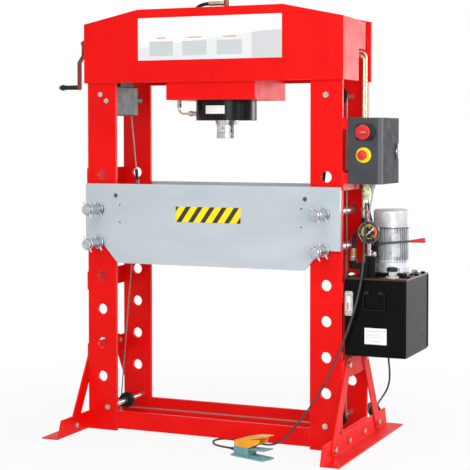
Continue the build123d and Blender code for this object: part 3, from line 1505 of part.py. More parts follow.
save("pedal_guard", pedal_guard())
save("foot_cable", cord("foot_cable", FOOT_CABLE_ROUTE, FOOT_CABLE_D))
save("mains_lead", cord("mains_lead", MAINS_ROUTE, MAINS_D))
save("motor_cable", cord("motor_cable", MOTOR_CABLE_ROUTE, MOTOR_CABLE_D))
save("mains_plug", mains_plug())
print("nodes", len(os.listdir("parts")))
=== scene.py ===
import bpy
import bmesh
import json
from math import cos, pi, radians, sin, sqrt
from mathutils import Matrix, Vector


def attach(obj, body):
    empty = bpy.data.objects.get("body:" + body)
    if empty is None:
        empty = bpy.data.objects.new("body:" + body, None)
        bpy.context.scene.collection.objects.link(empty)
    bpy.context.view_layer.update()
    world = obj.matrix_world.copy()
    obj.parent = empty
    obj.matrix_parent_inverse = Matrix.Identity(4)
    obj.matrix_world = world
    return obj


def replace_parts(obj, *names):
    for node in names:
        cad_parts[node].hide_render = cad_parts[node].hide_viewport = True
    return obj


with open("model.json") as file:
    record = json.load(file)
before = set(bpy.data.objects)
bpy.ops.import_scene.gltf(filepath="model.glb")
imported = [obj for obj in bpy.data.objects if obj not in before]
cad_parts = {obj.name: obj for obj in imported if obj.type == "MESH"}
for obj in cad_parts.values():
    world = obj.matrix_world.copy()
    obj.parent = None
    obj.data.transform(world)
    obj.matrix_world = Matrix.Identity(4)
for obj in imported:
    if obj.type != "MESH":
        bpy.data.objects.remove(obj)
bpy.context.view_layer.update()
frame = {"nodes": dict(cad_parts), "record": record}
nodes = frame["nodes"]
scene = bpy.context.scene

# Sizes in millimetres that the pieces share; the frame itself is in metres
MM = 0.001
FRONT_FACE = -187
HEAD_FACE = -205
TABLE_FACE = -212
BOX_LOW = 1185
BOX_SIDE = 815
LID_TOP = 776
CYL_TOP = 1935
SWITCH = (733, 1412)
ESTOP = (733, 1312)
BLOCK = (746, -125)
CAP = (846, -125)
MOTOR = (805, 0)
GAUGE = (746, -150, 973)
LOCK = (35, 1327)
FOOT_GLAND = (730, -140)
MOTOR_GLAND = (747, -100)
MAINS_GLAND = (676, 50)
PIPE_X = 651.5
PIPE_YS = (62, 95)
UP = (0, 0, 1)
FRONT = (0, -1, 0)
LEFT = (-1, 0, 0)
RIGHT = (1, 0, 0)

# Camera at the photograph's viewing angle, in metres and degrees
CAMERA_PLACE = (2.5632, -5.8307, 1.4020)
LOOK_DOWN = 2.1
LOOK_TURN = 23.373
LENS = 104.10
SENSOR = 36
SHIFT_Y = -0.1079

# Thin panels: thickness, gap to the plate behind, and each outline as x0, x1, z0, z1 and corner radius
PANEL_THICK = 0.5
PANEL_GAP = 0.05
HEAD_PANEL = (-358, 358, 1744, 1939, 3)
TABLE_PANEL = (-162, 162, 1000, 1071, 2)
TANK_PANEL = (740, 840, 488, 559, 2)
CYLINDER_PANEL = (1497, 1535)
CYLINDER_RADIUS = 142.5

# Painted fields, in millimetres along x and z
HEAD_SLOPE = 0.105
HEAD_LOWER = 1838.0
HEAD_GREY = (213, 358, 1744, 1866)
HEAD_BLOCKS = ((-298, -178), (-130, -8), (42, 166))
HEAD_BLOCK_ROWS = (1764, 1830)
HEAD_TITLES = ((-262, -216), (-104, -34), (72, 136))
HEAD_TITLE_ROWS = (1843, 1847)
HEAD_LINES = (6.0, 0.45)
LABEL_TITLES = ((747, 833, 544, 547), (768, 812, 500, 503))
LABEL_BLOCK = (749, 831, 512, 538)
LABEL_LINES = (7.0, 0.35)
STRIPE_LEAN = 0.69
STRIPE_START = 1989.0
STRIPES = (60.0, 0.42)
DOOR_FRONT = -168.0
LID_BOLTS_FROM = 640.0
LID_BOLTS = (760.0, 800.0)
FLANGE_TOP = 846.0
# Band of painted shade at the cowl's slots
COWL_SLOT_SHADE = (985.0, 992.5)

# The gauge's dial: sweep of the scale in degrees, radii in millimetres, coloured arcs in radians
DIAL_START = 225
DIAL_SWEEP = 270
DIAL_SET_BACK = 7
TICKS = 40
TICK_FOOT = 38.5
NUMBER_RADIUS = 20.5
NUMBER_SIZE = 6.5
DIAL_RING = (26.0, 36.0)
DIAL_INNER_RING = (25.0, 28.5)
GREEN_ABOVE = 1.2
GREEN_BELOW = -2.6
RED_ARC = (-0.8, 1.05)
INNER_ARC = (-2.1, -1.1)
NEEDLE_Y = -145.0
NEEDLE_TURN = 137

# Door handle, crank grip, valve lever, filler cap, lid, motor plate and hangers
HANDLE_HALF = 40
HANDLE_BULGE = 7.8
HANDLE_STEPS = 12
CRANK_GRIP = (-792, 0, 1632)
LEVER_FOOT = (756, -100, 919)
LEVER_LENGTH = 172
LEVER_LEAN = radians(6)
CAP_LOW = LID_TOP + 5.4
CAP_RIBS = 12
CAP_STEPS = 96
KNOB_RADIUS = 24.7
KNOB_GROOVE = 1.9
NECK_SCREW_RADIUS = 25.4
LID_LOW = 768
LID_LAP = 3
TANK_BACK = 167
PLATE_THICK = 18
HANGER_YS = (-110, 80)

# Hydraulic fittings: the axis of each, and the edge that every nut's corners are cut by
GAUGE_STEM = (BLOCK[0], -133, 0)
PLUG_PORT = (765, -129, 0)
ELBOW = (668, BLOCK[1], 0)
SECOND_HOSE = (716, -111, 0)
SIDE_PORT = (-142.5, 0, 1500)
HEAD_PIPE = (-245, 0, 0)
TOP_JOINT = (-172, 0, 0)
TOP_ARM = (0, 0, 2015)
NUT_EDGE = 0.8

# Ends of the table's shafts, mounting pads of the motor, and sight gauge
SHAFT_X = 472
SHAFT_Y = 215
SHAFT_Z = 1117
PAD_MIDDLES = (-59, 121)
PAD_SPREAD = 30
PAD_ROWS = (862, 966)
PAD_SCREW_TURNS = (-19, 19)
PAD_SCREW_ROWS = (879, 942)
BODY_RADIUS = 72
SIGHT_X = 672
SIGHT_SCREWS = (622, 706)

# Foot pedal: corner and turn on the floor, then places along and across its own length
PEDAL_CORNER = (204, -429, 0)
PEDAL_TURN = -18.5
NEAR = 10
FAR = 70
HOUSING_END = 95
HOUSING_TOP = 43
TREAD_START = HOUSING_END + 2
TREAD_END = 187
TREAD_RIBS = 11
TREAD_PITCH = 7.4
GUARD_BACK = 16
GUARD_TIP = 193
CABLE_HOLE = (12, 28.7, 24)
PEDAL_PLACE = Matrix.Translation(Vector(PEDAL_CORNER) * MM) @ Matrix.Rotation(radians(PEDAL_TURN), 4, "Z")

# What all the materials share
NOISE_RANGE = (0.3, 0.7)
ROUGH_SCALE = 2.6
FINE_NOISE = (2.0, 0.6)
BEVEL_SAMPLES = 4
EDGE_DOT = (0.995, 0.86)
PATCH_SCALE = 60.0
PATCH_RANGE = (0.35, 0.6, 0.35, 1.0)
SCUFF_SCALE = 90.0
SCUFF_RANGE = (0.35, 0.75, 0.0, 0.5)
COAT_ROUGH = 0.12

# Floor and light
FLOOR_HALF = 14
FLOOR_DROP = -0.0005
FLOOR_WHITE = (0.9, 2.4, 0.88, 1.0)
WORLD_STRENGTH = (0.55, 1.0)


# Camera
camera_data = bpy.data.cameras.new("camera")
camera_data.lens = LENS
camera_data.sensor_width = SENSOR
camera_data.shift_y = SHIFT_Y
camera = bpy.data.objects.new("camera", camera_data)
camera.location = CAMERA_PLACE
camera.rotation_euler = (radians(90 - LOOK_DOWN), 0, radians(LOOK_TURN))
scene.collection.objects.link(camera)
scene.camera = camera


# Node and material helpers
def node(tree, kind, inputs=None, **props):
    made = tree.nodes.new("ShaderNode" + kind)
    for key, value in props.items():
        setattr(made, key, value)
    for key, value in (inputs or {}).items():
        if isinstance(value, bpy.types.NodeSocket):
            tree.links.new(value, made.inputs[key])
        else:
            made.inputs[key].default_value = value
    return made


def cleared(owner):
    owner.use_nodes = True
    owner.node_tree.nodes.clear()
    return owner.node_tree


def math(tree, operation, a, b=0.0):
    return node(tree, "Math", {0: a, 1: b}, operation=operation).outputs[0]


def mix(tree, factor, a, b):
    return node(tree, "Mix", {0: factor, 6: a, 7: b}, data_type="RGBA").outputs[2]


def rgb(r, g, b):
    def linear(c):
        c = c / 255
        return c / 12.92 if c <= 0.04045 else ((c + 0.055) / 1.055) ** 2.4
    return (linear(r), linear(g), linear(b), 1.0)


def noise(tree, where, scale, detail=4.0, rough=0.55):
    inputs = {"Vector": where, "Scale": scale, "Detail": detail, "Roughness": rough}
    return node(tree, "TexNoise", inputs).outputs[0]


def ranged(tree, value, low, high, out_low=0.0, out_high=1.0):
    return node(tree, "MapRange", {0: value, 1: low, 2: high, 3: out_low, 4: out_high}).outputs[0]


def material(name, dark, light, scale=14.0, rough=(0.3, 0.42), metallic=0.0, bump=0.1, grain=500.0,
             stretch=(1, 1, 1), coat=0.0, edge=None, edge_radius=0.0, depth=0.0002, specular=0.5,
             paint=None):
    made = bpy.data.materials.new(name)
    tree = cleared(made)
    where = node(tree, "TexCoord").outputs["Object"]
    stretched = node(tree, "Mapping", {"Vector": where, "Scale": stretch}).outputs[0]
    mottled = ranged(tree, noise(tree, stretched, scale), *NOISE_RANGE)
    colour = mix(tree, mottled, rgb(*dark), rgb(*light))
    if paint:
        colour = paint(tree, where, colour)
    bump_inputs = {"Strength": bump, "Distance": depth}
    # Rounded edges turn to the edge colour in patches: a painted highlight along the edges
    if edge:
        normal = node(tree, "Bevel", {"Radius": edge_radius}, samples=BEVEL_SAMPLES).outputs[0]
        bump_inputs["Normal"] = normal
        face = node(tree, "NewGeometry").outputs["Normal"]
        dot = node(tree, "VectorMath", {0: normal, 1: face}, operation="DOT_PRODUCT").outputs["Value"]
        edge_highlight = ranged(tree, dot, *EDGE_DOT)
        patchy = ranged(tree, noise(tree, where, PATCH_SCALE), *PATCH_RANGE)
        colour = mix(tree, math(tree, "MULTIPLY", edge_highlight, patchy), colour, rgb(*edge))
    roughness = ranged(tree, noise(tree, stretched, scale * ROUGH_SCALE), *NOISE_RANGE, *rough)
    bump_inputs["Height"] = noise(tree, stretched, grain, *FINE_NOISE)
    shader = node(tree, "BsdfPrincipled", {
        "Base Color": colour, "Roughness": roughness, "Normal": node(tree, "Bump", bump_inputs).outputs[0],
        "Metallic": metallic, "Coat Weight": coat, "Coat Roughness": COAT_ROUGH,
        "Specular IOR Level": specular,
    })
    node(tree, "OutputMaterial", {0: shader.outputs[0]})
    return made


# Masks in the object's own coordinates, in millimetres
def split(tree, where):
    parts = node(tree, "SeparateXYZ", {0: where}).outputs
    return [math(tree, "MULTIPLY", part, 1 / MM) for part in parts]


def within(tree, value, low, high):
    over = math(tree, "GREATER_THAN", value, low)
    under = math(tree, "LESS_THAN", value, high)
    return math(tree, "MULTIPLY", over, under)


def field(tree, x, z, x0, x1, z0, z1):
    return math(tree, "MULTIPLY", within(tree, x, x0, x1), within(tree, z, z0, z1))


def stripes(tree, value, pitch, share):
    phase = math(tree, "FRACT", math(tree, "DIVIDE", value, pitch))
    return math(tree, "LESS_THAN", phase, share)


def hazard_paint(tree, where, colour):
    x, _, z = split(tree, where)
    lean = math(tree, "SUBTRACT", x, math(tree, "MULTIPLY", z, STRIPE_LEAN))
    stripe = stripes(tree, math(tree, "ADD", lean, STRIPE_START), *STRIPES)
    scuff = ranged(tree, noise(tree, where, SCUFF_SCALE), *SCUFF_RANGE)
    return mix(tree, stripe, colour, mix(tree, scuff, rgb(30, 27, 22), rgb(74, 66, 48)))


def head_paint(tree, where, colour):
    x, _, z = split(tree, where)
    slope = math(tree, "SUBTRACT", z, math(tree, "MULTIPLY", x, HEAD_SLOPE))
    lower = math(tree, "LESS_THAN", slope, HEAD_LOWER)
    colour = mix(tree, lower, colour, rgb(226, 228, 230))
    grey = math(tree, "MULTIPLY", field(tree, x, z, *HEAD_GREY), lower)
    colour = mix(tree, grey, colour, rgb(204, 206, 208))
    lines = mix(tree, stripes(tree, z, *HEAD_LINES), rgb(206, 212, 213), rgb(188, 196, 198))
    for block in HEAD_BLOCKS:
        colour = mix(tree, field(tree, x, z, *block, *HEAD_BLOCK_ROWS), colour, lines)
    for title in HEAD_TITLES:
        colour = mix(tree, field(tree, x, z, *title, *HEAD_TITLE_ROWS), colour, rgb(214, 90, 92))
    return colour


def label_paint(tree, where, colour):
    x, _, z = split(tree, where)
    for title in LABEL_TITLES:
        colour = mix(tree, field(tree, x, z, *title), colour, rgb(188, 190, 192))
    lines = math(tree, "MULTIPLY", field(tree, x, z, *LABEL_BLOCK), stripes(tree, z, *LABEL_LINES))
    return mix(tree, lines, colour, rgb(208, 210, 212))


def dial_paint(tree, where, colour):
    x, _, z = split(tree, where)
    dx = math(tree, "SUBTRACT", x, float(GAUGE[0]))
    dz = math(tree, "SUBTRACT", z, float(GAUGE[2]))
    squares = math(tree, "ADD", math(tree, "MULTIPLY", dx, dx), math(tree, "MULTIPLY", dz, dz))
    radius = math(tree, "SQRT", squares)
    angle = math(tree, "ARCTAN2", dz, dx)
    ring = within(tree, radius, *DIAL_RING)
    upper = math(tree, "GREATER_THAN", angle, GREEN_ABOVE)
    lower = math(tree, "LESS_THAN", angle, GREEN_BELOW)
    green = math(tree, "MULTIPLY", ring, math(tree, "MAXIMUM", upper, lower))
    red = math(tree, "MULTIPLY", ring, within(tree, angle, *RED_ARC))
    inner = math(tree, "MULTIPLY", within(tree, radius, *DIAL_INNER_RING), within(tree, angle, *INNER_ARC))
    colour = mix(tree, green, colour, rgb(178, 170, 60))
    colour = mix(tree, red, colour, rgb(236, 106, 42))
    return mix(tree, inner, colour, rgb(178, 170, 60))


# In front of DOOR_FRONT the door turns a lighter grey: a painted highlight along its front edge
def door_front_highlight(tree, where, colour):
    y = split(tree, where)[1]
    return mix(tree, math(tree, "LESS_THAN", y, DOOR_FRONT), colour, rgb(98, 101, 105))


def bolt_paint(tree, where, colour):
    x, _, z = split(tree, where)
    beyond = math(tree, "GREATER_THAN", x, LID_BOLTS_FROM)
    on_lid = math(tree, "MULTIPLY", beyond, within(tree, z, *LID_BOLTS))
    return mix(tree, on_lid, colour, rgb(24, 20, 18))


def motor_paint(tree, where, colour):
    z = split(tree, where)[2]
    return mix(tree, math(tree, "LESS_THAN", z, FLANGE_TOP), colour, rgb(216, 219, 222))


# Dark band around the cowl at the height of its slots: painted shade in the slot openings
def cowl_slot_shade(tree, where, colour):
    z = split(tree, where)[2]
    return mix(tree, within(tree, z, *COWL_SLOT_SHADE), colour, rgb(70, 72, 75))


# Looks: colours from 0 to 255, edge radius and bump depth in metres; the edge colour is a painted highlight
# along the rounded edges
looks = {
    "frame_red": dict(dark=(226, 6, 4), light=(238, 14, 8), scale=5, rough=(0.36, 0.48), bump=0.16,
                      grain=330, edge=(250, 96, 84), edge_radius=0.0022, specular=0.16),
    "table_grey": dict(dark=(182, 192, 199), light=(196, 204, 210), scale=3, rough=(0.34, 0.46),
                       metallic=0.1, grain=260, stretch=(1, 1, 2.2), edge=(226, 230, 233),
                       edge_radius=0.0022, specular=0.3),
    "box_grey": dict(dark=(62, 65, 69), light=(74, 77, 81), scale=10, rough=(0.45, 0.6), bump=0.5,
                     grain=900, edge=(112, 114, 118), edge_radius=0.0012, specular=0.12),
    # Darker copy of the box's grey on the door, the box's right side: painted shade
    "door_shaded_grey": dict(dark=(44, 46, 50), light=(54, 56, 60), scale=10, rough=(0.45, 0.6), bump=0.5,
                      grain=900, edge=(112, 114, 118), edge_radius=0.0012, specular=0.03, paint=door_front_highlight),
    "black_gloss": dict(dark=(9, 9, 9), light=(17, 16, 15), scale=12, rough=(0.18, 0.3), grain=300,
                        edge=(74, 60, 50), edge_radius=0.0012, specular=0.15),
    "tank_black": dict(dark=(4, 4, 4), light=(10, 9, 9), scale=12, rough=(0.2, 0.32), grain=300,
                       edge=(70, 58, 50), edge_radius=0.0012, specular=0.09),
    "bolt_zinc": dict(dark=(176, 172, 160), light=(212, 208, 196), scale=60, rough=(0.26, 0.42),
                      metallic=0.9, bump=0.3, grain=900, edge=(232, 230, 224), edge_radius=0.0006,
                      paint=bolt_paint),
    "connector_zinc": dict(dark=(168, 174, 122), light=(220, 224, 176), scale=70, rough=(0.24, 0.38),
                           metallic=0.7, bump=0.3, grain=700, edge=(240, 242, 214), edge_radius=0.0006),
    "bezel_steel": dict(dark=(104, 107, 112), light=(136, 139, 144), scale=30, rough=(0.2, 0.32),
                        metallic=0.9, grain=900, edge=(196, 199, 203), edge_radius=0.0006),
    "lever_steel": dict(dark=(74, 72, 68), light=(104, 100, 94), scale=50, rough=(0.28, 0.4), metallic=0.6,
                        bump=0.3, grain=900, stretch=(1, 1, 6), edge=(150, 146, 138), edge_radius=0.0008),
    "foot_grey": dict(dark=(56, 52, 52), light=(78, 73, 73), scale=40, rough=(0.4, 0.55), bump=0.3,
                      grain=1400, specular=0.3),
    "winch_grey": dict(dark=(58, 60, 61), light=(72, 74, 75), scale=12, rough=(0.42, 0.55), metallic=0.1,
                       bump=0.35, grain=700, edge=(104, 106, 108), edge_radius=0.0015),
    "crank_red": dict(dark=(120, 28, 20), light=(156, 62, 40), scale=22, rough=(0.35, 0.5), metallic=0.25,
                      bump=0.3, edge=(196, 132, 100), edge_radius=0.001),
    "zinc": dict(dark=(176, 172, 160), light=(212, 208, 196), scale=60, rough=(0.26, 0.42), metallic=0.9,
                 bump=0.3, grain=900, edge=(232, 230, 224), edge_radius=0.0006),
    "pipe_zinc": dict(dark=(196, 180, 138), light=(226, 214, 178), scale=30, rough=(0.24, 0.38),
                      metallic=0.75, bump=0.2, grain=700, stretch=(1, 1, 0.2)),
    "bright_steel": dict(dark=(168, 172, 176), light=(206, 209, 212), scale=45, rough=(0.2, 0.36),
                         metallic=0.95, bump=0.25, grain=1500, stretch=(1, 12, 1), edge=(236, 238, 240),
                         edge_radius=0.0008),
    "chrome": dict(dark=(186, 189, 192), light=(214, 217, 220), scale=30, rough=(0.08, 0.16), metallic=1.0,
                   bump=0.05, grain=900, stretch=(1, 1, 8)),
    "motor_alu": dict(dark=(168, 171, 174), light=(194, 197, 200), scale=26, rough=(0.34, 0.5),
                      metallic=0.65, bump=0.35, grain=900, edge=(228, 230, 232), edge_radius=0.0008,
                      paint=motor_paint),
    "black_plastic": dict(dark=(17, 17, 17), light=(28, 28, 28), scale=30, rough=(0.42, 0.58), bump=0.25,
                          grain=900, edge=(62, 62, 62), edge_radius=0.0008, specular=0.3),
    "black_rubber": dict(dark=(22, 21, 21), light=(36, 34, 33), scale=40, rough=(0.45, 0.62), bump=0.3,
                         grain=1400, specular=0.25),
    "lead_grey": dict(dark=(48, 50, 52), light=(66, 68, 70), scale=40, rough=(0.4, 0.55), bump=0.25,
                      grain=1200),
    "grey_cable": dict(dark=(176, 180, 184), light=(198, 202, 206), scale=40, rough=(0.4, 0.55), bump=0.2,
                       grain=1200),
    "signal_red": dict(dark=(204, 18, 26), light=(222, 34, 40), scale=60, rough=(0.24, 0.34), bump=0.08,
                       grain=900, edge=(240, 120, 120), edge_radius=0.0008),
    "signal_yellow": dict(dark=(236, 208, 0), light=(248, 226, 20), scale=60, rough=(0.28, 0.4), bump=0.08,
                          grain=900),
    "grip_red": dict(dark=(214, 6, 20), light=(232, 18, 30), scale=60, rough=(0.16, 0.26), bump=0.05,
                     grain=900, coat=0.3),
    "handle_grey": dict(dark=(190, 194, 200), light=(208, 212, 217), scale=40, rough=(0.24, 0.36),
                        metallic=0.3, grain=900),
    "pedal_teal": dict(dark=(98, 152, 160), light=(118, 172, 178), scale=26, rough=(0.36, 0.5),
                       metallic=0.05, bump=0.3, grain=600, edge=(164, 200, 204), edge_radius=0.0014),
    "guard_orange": dict(dark=(244, 158, 8), light=(252, 180, 24), scale=26, rough=(0.26, 0.38), bump=0.12,
                         grain=700, edge=(255, 214, 120), edge_radius=0.0014),
    "white_needle": dict(dark=(236, 236, 230), light=(248, 248, 244), scale=60, rough=(0.4, 0.5)),
    "rope_steel": dict(dark=(104, 96, 88), light=(160, 152, 142), scale=500, rough=(0.3, 0.45),
                       metallic=0.85, bump=0.9, grain=420, stretch=(1, 1, 0.35), depth=0.0006),
    "pale_panel": dict(dark=(240, 241, 241), light=(246, 247, 247), scale=4, rough=(0.34, 0.42), bump=0.03,
                       grain=200, paint=head_paint),
    "hazard_panel": dict(dark=(250, 222, 6), light=(254, 230, 20), scale=12, rough=(0.34, 0.44), bump=0.06,
                         grain=300, paint=hazard_paint),
    "label_panel": dict(dark=(236, 238, 238), light=(244, 246, 246), scale=12, rough=(0.36, 0.46),
                        bump=0.05, grain=300, paint=label_paint),
    "bare_panel": dict(dark=(232, 233, 230), light=(242, 243, 240), scale=20, rough=(0.3, 0.4), bump=0.05,
                       grain=300),
    "dial_face": dict(dark=(14, 15, 16), light=(22, 23, 24), scale=40, rough=(0.3, 0.4), bump=0.05,
                      grain=300, paint=dial_paint),
    "crimp_tan": dict(dark=(176, 138, 92), light=(206, 170, 122), scale=60, rough=(0.26, 0.4), metallic=0.7,
                      bump=0.3, grain=900, edge=(232, 206, 166), edge_radius=0.0006),
    "fitting_green": dict(dark=(120, 126, 112), light=(152, 158, 142), scale=60, metallic=0.6, bump=0.3,
                          grain=900, edge=(198, 202, 188), edge_radius=0.0006),
    "port_brown": dict(dark=(112, 62, 40), light=(158, 96, 62), scale=50, rough=(0.3, 0.45), metallic=0.6,
                       bump=0.3, grain=800, edge=(206, 150, 112), edge_radius=0.0008),
    "lid_brown": dict(dark=(52, 34, 26), light=(74, 48, 36), scale=12, rough=(0.28, 0.4), metallic=0.1,
                      grain=300, edge=(150, 112, 88), edge_radius=0.0012, specular=0.3),
    # Pale pink on the filler neck's chrome flange: a painted reflection of the red frame
    "flange_pink_reflection": dict(dark=(226, 204, 202), light=(240, 222, 220), scale=40, rough=(0.3, 0.4),
                        metallic=0.1, grain=700, edge=(250, 240, 240), edge_radius=0.0006),
    "cowl_grey": dict(dark=(190, 192, 195), light=(212, 214, 217), scale=16, rough=(0.24, 0.36),
                      metallic=0.35, bump=0.12, grain=700, edge=(214, 216, 218), edge_radius=0.0012,
                      paint=cowl_slot_shade),
    "shaft_dark": dict(dark=(66, 70, 74), light=(92, 96, 100), scale=80, rough=(0.32, 0.46), metallic=0.5,
                       bump=0.3, grain=900),
}
mat = {name: material(name, **look) for name, look in looks.items()}

# Solids that wear an extra look; the others wear their slot's look
own_look = {
    "steel_pipes": "pipe_zinc", "motor_cowl": "cowl_grey", "control_door": "door_shaded_grey",
    "oil_tank": "tank_black", "frame_bolts": "bolt_zinc", "valve_lever": "lever_steel",
}
slot_of = {part["node"]: part["material_slot"] for part in frame["record"]["subparts"]}
for name, carried in nodes.items():
    look = own_look.get(name, slot_of[name])
    carried.data.materials.clear()
    carried.data.materials.append(mat[look])


# Mesh helpers
def piece(name, bm, look, body="frame", sharp=38):
    bmesh.ops.recalc_face_normals(bm, faces=bm.faces)
    for face in bm.faces:
        face.smooth = True
    for edge in bm.edges:
        if len(edge.link_faces) == 2 and edge.calc_face_angle(0) > radians(sharp):
            edge.smooth = False
    mesh = bpy.data.meshes.new(name)
    bm.to_mesh(mesh)
    bm.free()
    made = bpy.data.objects.new(name, mesh)
    made.data.materials.append(mat[look])
    scene.collection.objects.link(made)
    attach(made, body)
    return made


def moved(bm, origin, along=UP):
    turn = Vector(UP).rotation_difference(Vector(along)).to_matrix().to_4x4()
    bm.transform(Matrix.Translation(Vector(origin) * MM) @ turn)
    return bm


def lathe(profile, steps=64, origin=(0, 0, 0), along=UP):
    bm = bmesh.new()
    rings = []
    for r, z in profile:
        count = steps if r else 1
        turn = [2 * pi * k / steps for k in range(count)]
        rings.append([bm.verts.new((r * cos(a) * MM, r * sin(a) * MM, z * MM)) for a in turn])
    for low, high in zip(rings, rings[1:]):
        for k in range(steps):
            n = k + 1
            corners = [low[k % len(low)], low[n % len(low)], high[n % len(high)], high[k % len(high)]]
            corners = list(dict.fromkeys(corners))
            if len(corners) > 2:
                bm.faces.new(corners)
    return moved(bm, origin, along)


def prism(outline, low, high, axis="y", round_off=0.0, segments=2, angle=25):
    def at(u, v, t):
        return Vector({"x": (t, u, v), "y": (u, t, v), "z": (u, v, t)}[axis]) * MM
    bm = bmesh.new()
    near = [bm.verts.new(at(u, v, low)) for u, v in outline]
    far = [bm.verts.new(at(u, v, high)) for u, v in outline]
    bm.faces.new(near)
    bm.faces.new(list(reversed(far)))
    for k in range(len(outline)):
        n = (k + 1) % len(outline)
        bm.faces.new([near[k], near[n], far[n], far[k]])
    bmesh.ops.recalc_face_normals(bm, faces=bm.faces)
    if round_off:
        edges = [e for e in bm.edges if len(e.link_faces) == 2 and e.calc_face_angle(0) > radians(angle)]
        bmesh.ops.bevel(bm, geom=edges, offset=round_off * MM, segments=segments, profile=0.5,
                        affect="EDGES", clamp_overlap=True)
    return bm


def rounded(x0, x1, z0, z1, r, steps=5):
    points = []
    corners = ((x1 - r, z1 - r, 0), (x0 + r, z1 - r, 90), (x0 + r, z0 + r, 180), (x1 - r, z0 + r, 270))
    for cx, cz, start in corners:
        for k in range(steps + 1):
            a = radians(start + 90 * k / steps)
            points.append((cx + r * cos(a), cz + r * sin(a)))
    return points


def around(count, radius, middle, start=0):
    angles = [radians(start + 360 * k / count) for k in range(count)]
    return [(middle[0] + radius * cos(a), middle[1] + radius * sin(a)) for a in angles]


def join(*parts):
    whole = bmesh.new()
    for part in parts:
        mesh = bpy.data.meshes.new("part")
        part.to_mesh(mesh)
        part.free()
        whole.from_mesh(mesh)
        bpy.data.meshes.remove(mesh)
    return whole


def cuboid(x0, x1, y0, y1, z0, z1, round_off=1.2):
    return prism([(x0, y0), (x1, y0), (x1, y1), (x0, y1)], z0, z1, "z", round_off, 2)


def hexagon(across, low, high, origin=(0, 0, 0), along=UP):
    r = across / sqrt(3)
    outline = [(r * cos(radians(60 * k)), r * sin(radians(60 * k))) for k in range(6)]
    return moved(prism(outline, low, high, "z", NUT_EDGE, 2), origin, along)


def stepped(profile, origin=(0, 0, 0), along=UP):
    return lathe([(0, profile[0][1])] + profile + [(0, profile[-1][1])], 40, origin, along)


def crimp(origin, radius, low, high, along=UP):
    rings = [(radius - 1.4, low), (radius - 0.4, low + 1)]
    grooved = high - low - 8
    count = max(2, round(grooved / 5))
    pitch = grooved / count
    for k in range(count):
        z = low + 3 + pitch * k
        rings += [(radius - 0.2, z), (radius, z + 0.5), (radius, z + pitch * 0.6),
                  (radius - 1.1, z + pitch * 0.75)]
    rings += [(radius - 0.2, high - 4), (radius - 0.4, high - 1), (radius - 1.8, high)]
    return stepped(rings, origin, along)


def curved_panel(radius, middle, spread, z0, z1, thick=0.4, steps=16):
    bm = bmesh.new()
    grid = []
    for r in (radius + PANEL_GAP, radius + thick):
        for z in (z0, z1):
            row = []
            for k in range(steps + 1):
                a = radians(middle - spread / 2 + spread * k / steps)
                row.append(bm.verts.new((r * sin(a) * MM, -r * cos(a) * MM, z * MM)))
            grid.append(row)
    inner_low, inner_high, outer_low, outer_high = grid
    bands = ((outer_low, outer_high), (inner_low, inner_high), (outer_low, inner_low),
             (outer_high, inner_high))
    for low, high in bands:
        for k in range(steps):
            bm.faces.new([low[k], low[k + 1], high[k + 1], high[k]])
    for k in (0, steps):
        bm.faces.new([inner_low[k], outer_low[k], outer_high[k], inner_high[k]])
    return bm


def spline(name, points, radius, look):
    data = bpy.data.curves.new(name, "CURVE")
    data.dimensions = "3D"
    data.bevel_depth = radius * MM
    data.bevel_resolution = 4
    data.resolution_u = 8
    data.use_fill_caps = True
    line = data.splines.new("NURBS")
    line.points.add(len(points) - 1)
    for target, point in zip(line.points, points):
        target.co = (*(Vector(point) * MM), 1)
    line.order_u = 3
    line.use_endpoint_u = True
    made = bpy.data.objects.new(name, data)
    data.materials.append(mat[look])
    scene.collection.objects.link(made)
    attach(made, "frame")
    return made


# Cords on the routes of the CAD solids, with the foot cable's loop near the pedal
foot_cable = spline("foot_cable_line", [
    (730, -140, 1165), (730, -140, 1095), (734, -160, 1018), (734, -178, 935), (736, -196, 848),
    (731, -211, 760), (712, -217, 670), (685, -219, 580), (653, -221, 492), (617, -225, 405),
    (579, -230, 320), (535, -238, 240), (484, -248, 165), (432, -252, 98), (376, -232, 42),
    (312, -200, 5), (241, -186, 5), (171, -172, 5), (112, -163, 5), (52, -155, 5), (25, -213, 5),
    (60, -283, 5), (120, -345, 15), (179.5, -391, 24), (206, -399.4, 24), (222.6, -405, 24),
], 4.5, "foot_grey")
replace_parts(foot_cable, "foot_cable")
mains_lead = spline("mains_lead_line", [
    (676, 50, 1165), (676, 50, 1085), (684, 104, 990), (692, 156, 895), (700, 190, 790),
    (708, 200, 685), (717, 202, 578), (726, 203, 471), (729, 207, 368), (733, 222, 285),
    (714, 258, 222), (671, 325, 168), (624, 410, 120), (571, 525, 73),
], 4.5, "lead_grey")
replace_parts(mains_lead, "mains_lead")
motor_cable = spline("motor_cable_line", [
    (747, -100, 1165), (747, -100, 1125), (730, -86, 1078), (714, -50, 1035), (712, -8, 990),
    (708, 35, 950), (720, 80, 920), (742, 99.5, 905), (763, 99.5, 905),
], 4.0, "grey_cable")
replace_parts(motor_cable, "motor_cable")
hose_routes = {
    "hose_top": [(-172, 0, 1896), (-172, 0, 1956), (-146, 0, 2015), (-88, 0, 2015)],
    "hose_first": [(651.5, 62, 1034), (651.5, 62, 1002), (658, 22, 978), (667, -50, 966),
                   (668, -125, 952), (668, -125, 900)],
    "hose_second": [(651.5, 95, 1034), (652, 94, 1004), (674, 60, 978), (696, 2, 960),
                    (710, -58, 945), (716, -111, 924), (716, -111, 876)],
}
for name, route in hose_routes.items():
    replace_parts(spline(name, route, 8.5, "black_rubber"), "hydraulic_hoses")


# Thin panels: head field, striped panel on the table, bare labels on the tank and the cylinder
def panel(outline, face):
    return prism(rounded(*outline), face - PANEL_THICK, face - PANEL_GAP)


